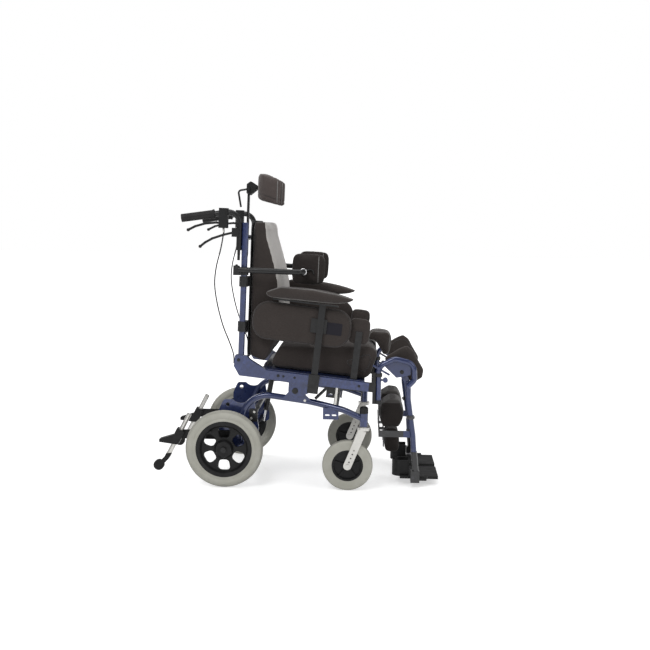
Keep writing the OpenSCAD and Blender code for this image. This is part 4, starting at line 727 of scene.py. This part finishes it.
def bolt(name, place, axis, head_r, head_h, material, body):
    """A hexagonal bolt head with its washer, seated at a place and facing along an axis."""
    axis = axis.normalized()
    a = axis.orthogonal().normalized()
    b = axis.cross(a)
    washer_r, washer_h = head_r * 1.35, head_h * 0.25
    rings = [(washer_r, 0, ROUND), (washer_r, washer_h, ROUND), (head_r, washer_h, HEX),
             (head_r, head_h * 0.85, HEX), (head_r * 0.82, head_h, HEX)]
    verts = []
    faces = []
    for r, h, n in rings:
        for k in range(ROUND):
            t = 2 * math.pi * k / ROUND
            f = r
            if n < ROUND:
                step = 2 * math.pi / n
                f = r * math.cos(step / 2) / math.cos((t % step) - step / 2) * 1.06
            verts.append(place + (a * math.cos(t) + b * math.sin(t)) * f + axis * h)
    for i in range(len(rings) - 1):
        for k in range(ROUND):
            p, q = i * ROUND + k, i * ROUND + (k + 1) % ROUND
            faces.append((p, q, q + ROUND, p + ROUND))
    faces.append(tuple(range(ROUND - 1, -1, -1)))
    faces.append(tuple((len(rings) - 1) * ROUND + k for k in range(ROUND)))
    mesh = bpy.data.meshes.new(name)
    mesh.from_pydata([tuple(v) for v in verts], [], faces)
    mesh.update()
    return piece(name, mesh, material, body)


def plate(name, outline, normal, thickness, material, body, bevel):
    """A flat plate with rounded edges from its outline points."""
    mesh = bpy.data.meshes.new(name)
    n = len(outline)
    normal = normal.normalized()
    verts = [tuple(p) for p in outline] + [tuple(p + normal * thickness) for p in outline]
    faces = [tuple(range(n - 1, -1, -1)), tuple(range(n, 2 * n))]
    faces += [(k, (k + 1) % n, n + (k + 1) % n, n + k) for k in range(n)]
    mesh.from_pydata(verts, [], faces)
    mesh.update()
    bm = bmesh.new()
    bm.from_mesh(mesh)
    bmesh.ops.recalc_face_normals(bm, faces=bm.faces)
    bmesh.ops.bevel(bm, geom=bm.edges[:], offset=bevel, segments=2, profile=0.5,
                    affect="EDGES", clamp_overlap=True)
    bm.to_mesh(mesh)
    bm.free()
    mesh.update()
    return piece(name, mesh, material, body)


def rounded_outline(place, points, y, radius, steps=4):
    out = []
    n = len(points)
    for i in range(n):
        p, q, r = Vector(points[i - 1]), Vector(points[i]), Vector(points[(i + 1) % n])
        a, b = (p - q).normalized(), (r - q).normalized()
        start, end = q + a * radius, q + b * radius
        for k in range(steps + 1):
            t = k / steps
            c = start.lerp(q, t).lerp(q.lerp(end, t), t)
            out.append(place(c.x, y, c.y))
    return out


def round_corner(obj, b, c, radius, way):
    """Rounds the front upper (way 1) or front lower (way -1) corner of a piece, seen from the side."""
    centre = back(b, 0, c)
    mesh = obj.data
    for v in mesh.vertices:
        move = v.co - centre
        ahead, up = move.dot(AHEAD_BACK), move.dot(UP_BACK) * way
        reach = math.hypot(ahead, up)
        if ahead > 0 and up > 0 and reach > radius / MM:
            share = radius / MM / reach
            v.co += (AHEAD_BACK * ahead + UP_BACK * up * way) * (share - 1)
    mesh.update()


UP_SEAT = direction(seat, (0, 0, 1))
AHEAD_SEAT = direction(seat, (1, 0, 0))
UP_BACK = direction(back, (0, 0, 1))
AHEAD_BACK = direction(back, (1, 0, 0))
AHEAD = Vector((1, 0, 0))
ACROSS = Vector((0, 1, 0))

# Each pad's remesh size, how far it is drawn in, and the most that a point swells back
BIG_PAD = {"voxel": 0.008, "shrink": 0.005, "cap": 0.008}
MIDDLE_PAD = {"voxel": 0.005, "shrink": 0.003, "cap": 0.005}
SMALL_PAD = {"voxel": 0.004, "shrink": 0.0025, "cap": 0.004}
ARM_PAD = {"voxel": 0.005, "shrink": 0.0025, "cap": 0.004}
KNEE_PAD = {"voxel": 0.0045, "shrink": 0.0025, "cap": 0.004}
PANEL_PAD = {"voxel": 0.0045, "shrink": 0.002, "cap": 0.003}

# Seat cushion, with a pressed seam before its front edge
SEAT_SEAM = AHEAD_SEAT * 0.985 + UP_SEAT * 0.17
SEAT_SEAM_DEPTH = 0.006
SEAT_SEAM_WIDTH = 0.007

seat_pad = soft("seat_cushion", "seat_cushion_soft", dark_cloth, "seat",
                room(0.006, (UP_SEAT, -0.3), (AHEAD_SEAT, -0.4)), **BIG_PAD)
groove(seat_pad, seat(60, 0, 150), SEAT_SEAM.normalized(), SEAT_SEAM_DEPTH, SEAT_SEAM_WIDTH)
piping_each_side(seat_pad, "seat_piping", seat, 90, 196, 140, 0.0022, dark_piping)

# Back cushion, with a painted reflection: a light colour on the middle of its front, where it faces forward
REFLECTION_HALF = 0.2035
REFLECTION_TURN = 0.25
PAINTED_LIGHT_LOW = 0.12
HIGHLIGHT_AHEAD = 0.075
# Piping colour along the back cushion's front edge: a painted highlight
PIPING_HIGHLIGHT = (0.42, 0.41, 0.4)


# Mask of the painted reflection: the middle of the back cushion's front, above its low edge, where the
# surface faces forward
def back_reflection_rule(nt, b, y, c):
    inner = sums(nt, "LESS_THAN", sums(nt, "ABSOLUTE", y[0]), REFLECTION_HALF)
    forward = sums(nt, "GREATER_THAN", b[1], REFLECTION_TURN)
    high = sums(nt, "GREATER_THAN", c[0], PAINTED_LIGHT_LOW)
    return sums(nt, "MULTIPLY", sums(nt, "MULTIPLY", inner, forward), high)


# Mask of the painted highlight on the back piping: ahead of the cushion's middle and above its low edge
def piping_highlight_rule(nt, b, y, c):
    forward = sums(nt, "GREATER_THAN", b[0], HIGHLIGHT_AHEAD)
    return sums(nt, "MULTIPLY", forward, sums(nt, "GREATER_THAN", c[0], PAINTED_LIGHT_LOW))


back_reflection_mat = cloth_with_painted_light("back_cloth_reflection_mat", DARK, PAINTED_REFLECTION, back, back_reflection_rule)
highlit_back_piping = cloth_with_painted_light("highlit_back_piping_mat", shade(DARK, 0.6), PIPING_HIGHLIGHT, back, piping_highlight_rule)
back_pad = soft("back_cushion", "back_cushion_soft", back_reflection_mat, "seat",
                room(0.005, (AHEAD_BACK, -0.3), (UP_BACK, -0.5)), **BIG_PAD)
piping_each_side(back_pad, "highlit_back_piping", back, 80, 205, 250, 0.0024, highlit_back_piping)

# Pommel and hip pads
pommel = soft("pommel", "pommel_soft", dark_cloth, "seat", room(0.004, (UP_SEAT, -0.3)), **MIDDLE_PAD)
piping_each_side(pommel, "pommel_piping", seat, 310, 46, 215, 0.0018, piping_highlit)
hips = soft("hip_pads", "hip_pads_soft", dark_cloth, "seat", room(0.0015), **SMALL_PAD)
piping_each_side(hips, "hip_piping", seat, 225, 204, 266, 0.0015, dark_piping)

# Headrest
BAND_SLOPE = 0.29

head = soft("headrest_pad", "headrest_soft", brown_cloth, "headrest",
            room(0.003, (AHEAD_BACK, -0.3)), rounds=8, **MIDDLE_PAD)
round_corner(head, 86, 676, 40, 1)
round_corner(head, 96, 634, 30, -1)
piping(head, "headrest_piping", back(108, 0, 671), AHEAD_BACK, 0.0022, piping_highlit, "headrest")
piping(head, "headrest_band", back(24, 0, 652), UP_BACK + AHEAD_BACK * BAND_SLOPE, 0.0012, dark_piping,
       "headrest")

# Trunk supports, arm pads, side panels, calf pads and knee pads
CALF_DARK = shade(DARK, 0.5)
# Lighter colour on the calf pads: a painted highlight on a band near the top and on the faces turned forward
CALF_HIGHLIGHT = (0.075, 0.07, 0.067)
HIGHLIGHT_BAND_LOW = -0.074
HIGHLIGHT_BAND_HIGH = -0.058
HIGHLIGHT_TURN = 0.8
HIGHLIGHT_FRONT_LOW = -0.13


# Mask of the calf pad's painted highlight: a band near the top, and the faces turned forward
def calf_highlight_rule(nt, a, y, u):
    over = sums(nt, "GREATER_THAN", u[0], HIGHLIGHT_BAND_LOW)
    highlight_band = sums(nt, "MULTIPLY", over, sums(nt, "LESS_THAN", u[0], HIGHLIGHT_BAND_HIGH))
    forward = sums(nt, "GREATER_THAN", a[1], HIGHLIGHT_TURN)
    front = sums(nt, "MULTIPLY", forward, sums(nt, "GREATER_THAN", u[0], HIGHLIGHT_FRONT_LOW))
    return sums(nt, "MAXIMUM", highlight_band, front)


for side, k in SIDES:
    body = "trunk_" + side
    trunk = soft("trunk_pad_" + side, "trunk_soft_" + side, black_cloth, body, room(0.002), **SMALL_PAD)
    piping(trunk, "trunk_piping_" + side, back(291, -k * 190, 357), AHEAD_BACK, 0.002, piping_highlit, body)

    body = "armrest_" + side
    arm = soft("arm_pad_" + side, "arm_soft_" + side, panel_cloth, body,
               room(0.003, (UP_SEAT, -0.5)), **ARM_PAD)
    piping(arm, "arm_piping_" + side, seat(0, -k * 282, 388), ACROSS, 0.0018, piping_highlit, body)
    piping(arm, "arm_seam_" + side, seat(173, -k * 264, 385), AHEAD_SEAT, 0.0014, piping_highlit, body)
    panel = soft("side_panel_" + side, "panel_soft_" + side, panel_cloth, body,
                 room(0.001), rounds=2, **PANEL_PAD)
    piping(panel, "panel_piping_" + side, seat(0, -k * 247.5, 268), ACROSS, 0.0016, dark_piping, body)

    calf_highlight_mat = cloth_with_painted_light("calf_highlight_cloth_mat_" + side, CALF_DARK, CALF_HIGHLIGHT, leg, calf_highlight_rule)
    soft("calf_pad_" + side, "calf_soft_" + side, calf_highlight_mat, "leg_" + side,
         room(0.004, (AHEAD, -0.4)), **MIDDLE_PAD)

    body = "legrest_" + side
    knee = soft("knee_pad_" + side, "knee_soft_" + side, panel_cloth, body, room(-0.0005), **KNEE_PAD)
    piping(knee, "knee_piping_" + side, mirrored(leg(100, 58, 90), k), ACROSS, 0.0016, dark_piping, body)

# Bolts: a tag, a place on the right side and the head's radius, in millimetres
SEAT_BOLTS = (
    ("rail_a", seat(-73, -251, 55), 4.5), ("rail_b", seat(-52, -251, 55), 3.5),
    ("rail_c", seat(-7, -251, 55), 3.5), ("rail_d", seat(250, -251, 54), 4),
    ("elbow_a", seat(-236, -251, 98), 5),
)
BASE_BOLTS = (
    ("plate_a", base(100, -217.5, 268), 5), ("plate_b", base(112, -217.5, 294), 5),
    ("plate_c", base(-16, -215, 290), 4), ("post", base(316, -224.5, 346), 4),
)
BOLT_H = 0.003
CLAMP_X = 131
CLAMP_HALF = 15

# Rings, levers and valves
RING_STEPS = 32
RING_R = 11.5
KNOB_LEVER = ((240, -214, 350), (252, -212, 355), (266, -211, 356), (272, -211, 348), (274, -211, 338))
AXLE_H = 155
VALVE_R = 88
VALVE_TURN = 2.2
VALVE_OUT = (-275, -283, -291, -297)


def stepped(thick, thin, share):
    """A tube's radius: thick up to a share of its length, and thin after it."""
    return lambda t: thick if t < share else thin


for side, k in SIDES:
    outward = Vector((0, -k, 0))
    for tag, place, r in SEAT_BOLTS:
        bolt("bolt_%s_%s" % (tag, side), mirrored(place, k), outward, r / MM, BOLT_H, black_metal, "seat")
    for tag, place, r in BASE_BOLTS:
        bolt("bolt_%s_%s" % (tag, side), mirrored(place, k), outward, r / MM, BOLT_H, alloy, "base")
    for number, way in enumerate((-1, 1)):
        bolt("bolt_leg_%d_%s" % (number, side), mirrored(leg(CLAMP_X + way * CLAMP_HALF, 27, -123), k),
             Vector((way, 0, 0)), 0.0042, 0.0035, alloy, "leg_" + side)
    bolt("bolt_knee_" + side, mirrored(leg(92, 10, 62), k), outward, 0.006, 0.004, black_metal,
         "legrest_" + side)
    turns = [2 * math.pi * i / RING_STEPS for i in range(RING_STEPS)]
    ring = [mirrored(back(232 + RING_R * math.cos(t), -217.5, 346 + RING_R * math.sin(t)), k) for t in turns]
    tube("trunk_ring_" + side, ring, 0.003, chrome, "trunk_" + side, closed=True)
    lever = even([mirrored(back(*p), k) for p in KNOB_LEVER], 0.003, closed=False)
    tube("trunk_knob_lever_" + side, lever, 0.0032, black_metal, "trunk_" + side)
    valve_x, valve_up = VALVE_R * math.cos(VALVE_TURN), VALVE_R * math.sin(VALVE_TURN)
    stem = [mirrored(base(valve_x, y, AXLE_H + valve_up), k) for y in VALVE_OUT]
    tube("valve_" + side, stem, stepped(0.0028, 0.0022, 0.7), grip_rubber, "rear_wheel_" + side)

# Cables from the levers down behind the back
CABLE = [
    (-88, 503), (-88, 480), (-97, 420), (-112, 350), (-116, 280), (-102, 200),
    (-78, 120), (-52, 60), (-36, 20), (-30, -5), (-29, -30),
]
CABLE_Y = -230
CABLE_STEPS = 5
FERRULE = (-0.004, 0.004, 0.012, 0.018)


def smooth_route(points, steps):
    """A smooth line through the points."""
    out = []
    for i in range(len(points) - 1):
        p = [Vector(points[max(0, min(len(points) - 1, i + q))]) for q in (-1, 0, 1, 2)]
        for s in range(steps):
            t = s / steps
            out.append((p[1] * 2 + (p[2] - p[0]) * t + (p[0] * 2 - p[1] * 5 + p[2] * 4 - p[3]) * t * t
                        + (p[1] * 3 - p[0] - p[2] * 3 + p[3]) * t * t * t) / 2)
    return out + [Vector(points[-1])]


for side, k in SIDES:
    route = [mirrored(back(p.x, CABLE_Y, p.y), k) for p in smooth_route(CABLE, CABLE_STEPS)]
    cable = tube("cable_" + side, route, 0.0025, grip_rubber, "seat", sides=12)
    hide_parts("brake_cables")
    start = (route[1] - route[0]).normalized()
    tube("ferrule_" + side, [route[0] + start * d for d in FERRULE], stepped(0.0042, 0.003, 0.8),
         alloy, "seat", sides=12)

# Blank patch on each side panel
PATCH = [(88, 243), (156, 243), (156, 291), (88, 291)]
PATCH_Y = -251.4
PATCH_CORNER = 6

for side, k in SIDES:
    patch = [mirrored(p, k) for p in rounded_outline(seat, PATCH, PATCH_Y, PATCH_CORNER)]
    plate("panel_patch_" + side, patch, Vector((0, -k, 0)), 0.0012, patch_cloth, "armrest_" + side,
          bevel=0.0004)


# Stage: floor, world and lamps
FLOOR_HALF = 30
FLOOR_GLOW = 0.52
GLOW_FROM = 1.2
GLOW_FULL = 3.5
WORLD_LIGHT = 0.34
LAMP_AIM = Vector((0, 0, 0.6))
# Name, place, size and power
LAMPS = (
    ("key", (-1.2, -2.6, 3.2), 2.0, 58), ("fill", (2.6, -2.0, 2.2), 2.2, 26),
    ("top", (0.2, 0.6, 3.6), 2.4, 46), ("rear", (-2.4, 2.2, 2.4), 1.8, 26),
)


def add_floor():
    """A pale floor that glows a little where it is seen, so that it fades into the background."""
    mesh = bpy.data.meshes.new("floor")
    corners = [(x * FLOOR_HALF, y * FLOOR_HALF, 0) for x, y in ((-1, -1), (1, -1), (1, 1), (-1, 1))]
    mesh.from_pydata(corners, [], [(0, 1, 2, 3)])
    floor = bpy.data.objects.new("floor", mesh)
    bpy.context.collection.objects.link(floor)
    floor.location.z = -0.0005
    mat, nt, b = tree("floor_mat")
    out = b.outputs[0].links[0].to_node
    b.inputs["Base Color"].default_value = (0.9, 0.9, 0.9, 1)
    b.inputs["Roughness"].default_value = 0.22
    paths = node(nt, "ShaderNodeLightPath")
    glow = node(nt, "ShaderNodeEmission")
    distance = node(nt, "ShaderNodeVectorMath", operation="LENGTH")
    nt.links.new(coords(nt), distance.inputs[0])
    strength = remap(nt, distance.outputs["Value"], GLOW_FROM, GLOW_FULL, FLOOR_GLOW, 1.0)
    nt.links.new(strength, glow.inputs["Strength"])
    both = node(nt, "ShaderNodeAddShader")
    pick = node(nt, "ShaderNodeMixShader")
    seen = sums(nt, "MAXIMUM", paths.outputs["Is Camera Ray"], paths.outputs["Is Glossy Ray"])
    nt.links.new(b.outputs[0], both.inputs[0])
    nt.links.new(glow.outputs[0], both.inputs[1])
    nt.links.new(seen, pick.inputs[0])
    nt.links.new(b.outputs[0], pick.inputs[1])
    nt.links.new(both.outputs[0], pick.inputs[2])
    nt.links.new(pick.outputs[0], out.inputs[0])
    mesh.materials.append(mat)


def add_world():
    """A white world to the camera, and a weak light to everything else."""
    world = bpy.data.worlds.new("studio")
    bpy.context.scene.world = world
    world.use_nodes = True
    wt = world.node_tree
    wt.nodes.clear()
    out = node(wt, "ShaderNodeOutputWorld")
    bright = node(wt, "ShaderNodeBackground")
    bright.inputs[0].default_value = (1, 1, 1, 1)
    soft_light = node(wt, "ShaderNodeBackground")
    soft_light.inputs[0].default_value = (1, 1, 1, 1)
    soft_light.inputs[1].default_value = WORLD_LIGHT
    paths = node(wt, "ShaderNodeLightPath")
    pick = node(wt, "ShaderNodeMixShader")
    wt.links.new(paths.outputs["Is Camera Ray"], pick.inputs[0])
    wt.links.new(soft_light.outputs[0], pick.inputs[1])
    wt.links.new(bright.outputs[0], pick.inputs[2])
    wt.links.new(pick.outputs[0], out.inputs[0])


def add_lamps():
    for name, place, size, power in LAMPS:
        data = bpy.data.lights.new(name, "AREA")
        data.shape = "DISK"
        data.size = size
        data.energy = power
        lamp = bpy.data.objects.new(name, data)
        bpy.context.collection.objects.link(lamp)
        lamp.location = place
        lamp.rotation_euler = (LAMP_AIM - Vector(place)).to_track_quat("-Z", "Y").to_euler()


add_floor()
add_world()
add_lamps()
bpy.context.scene.view_settings.view_transform = "Standard"
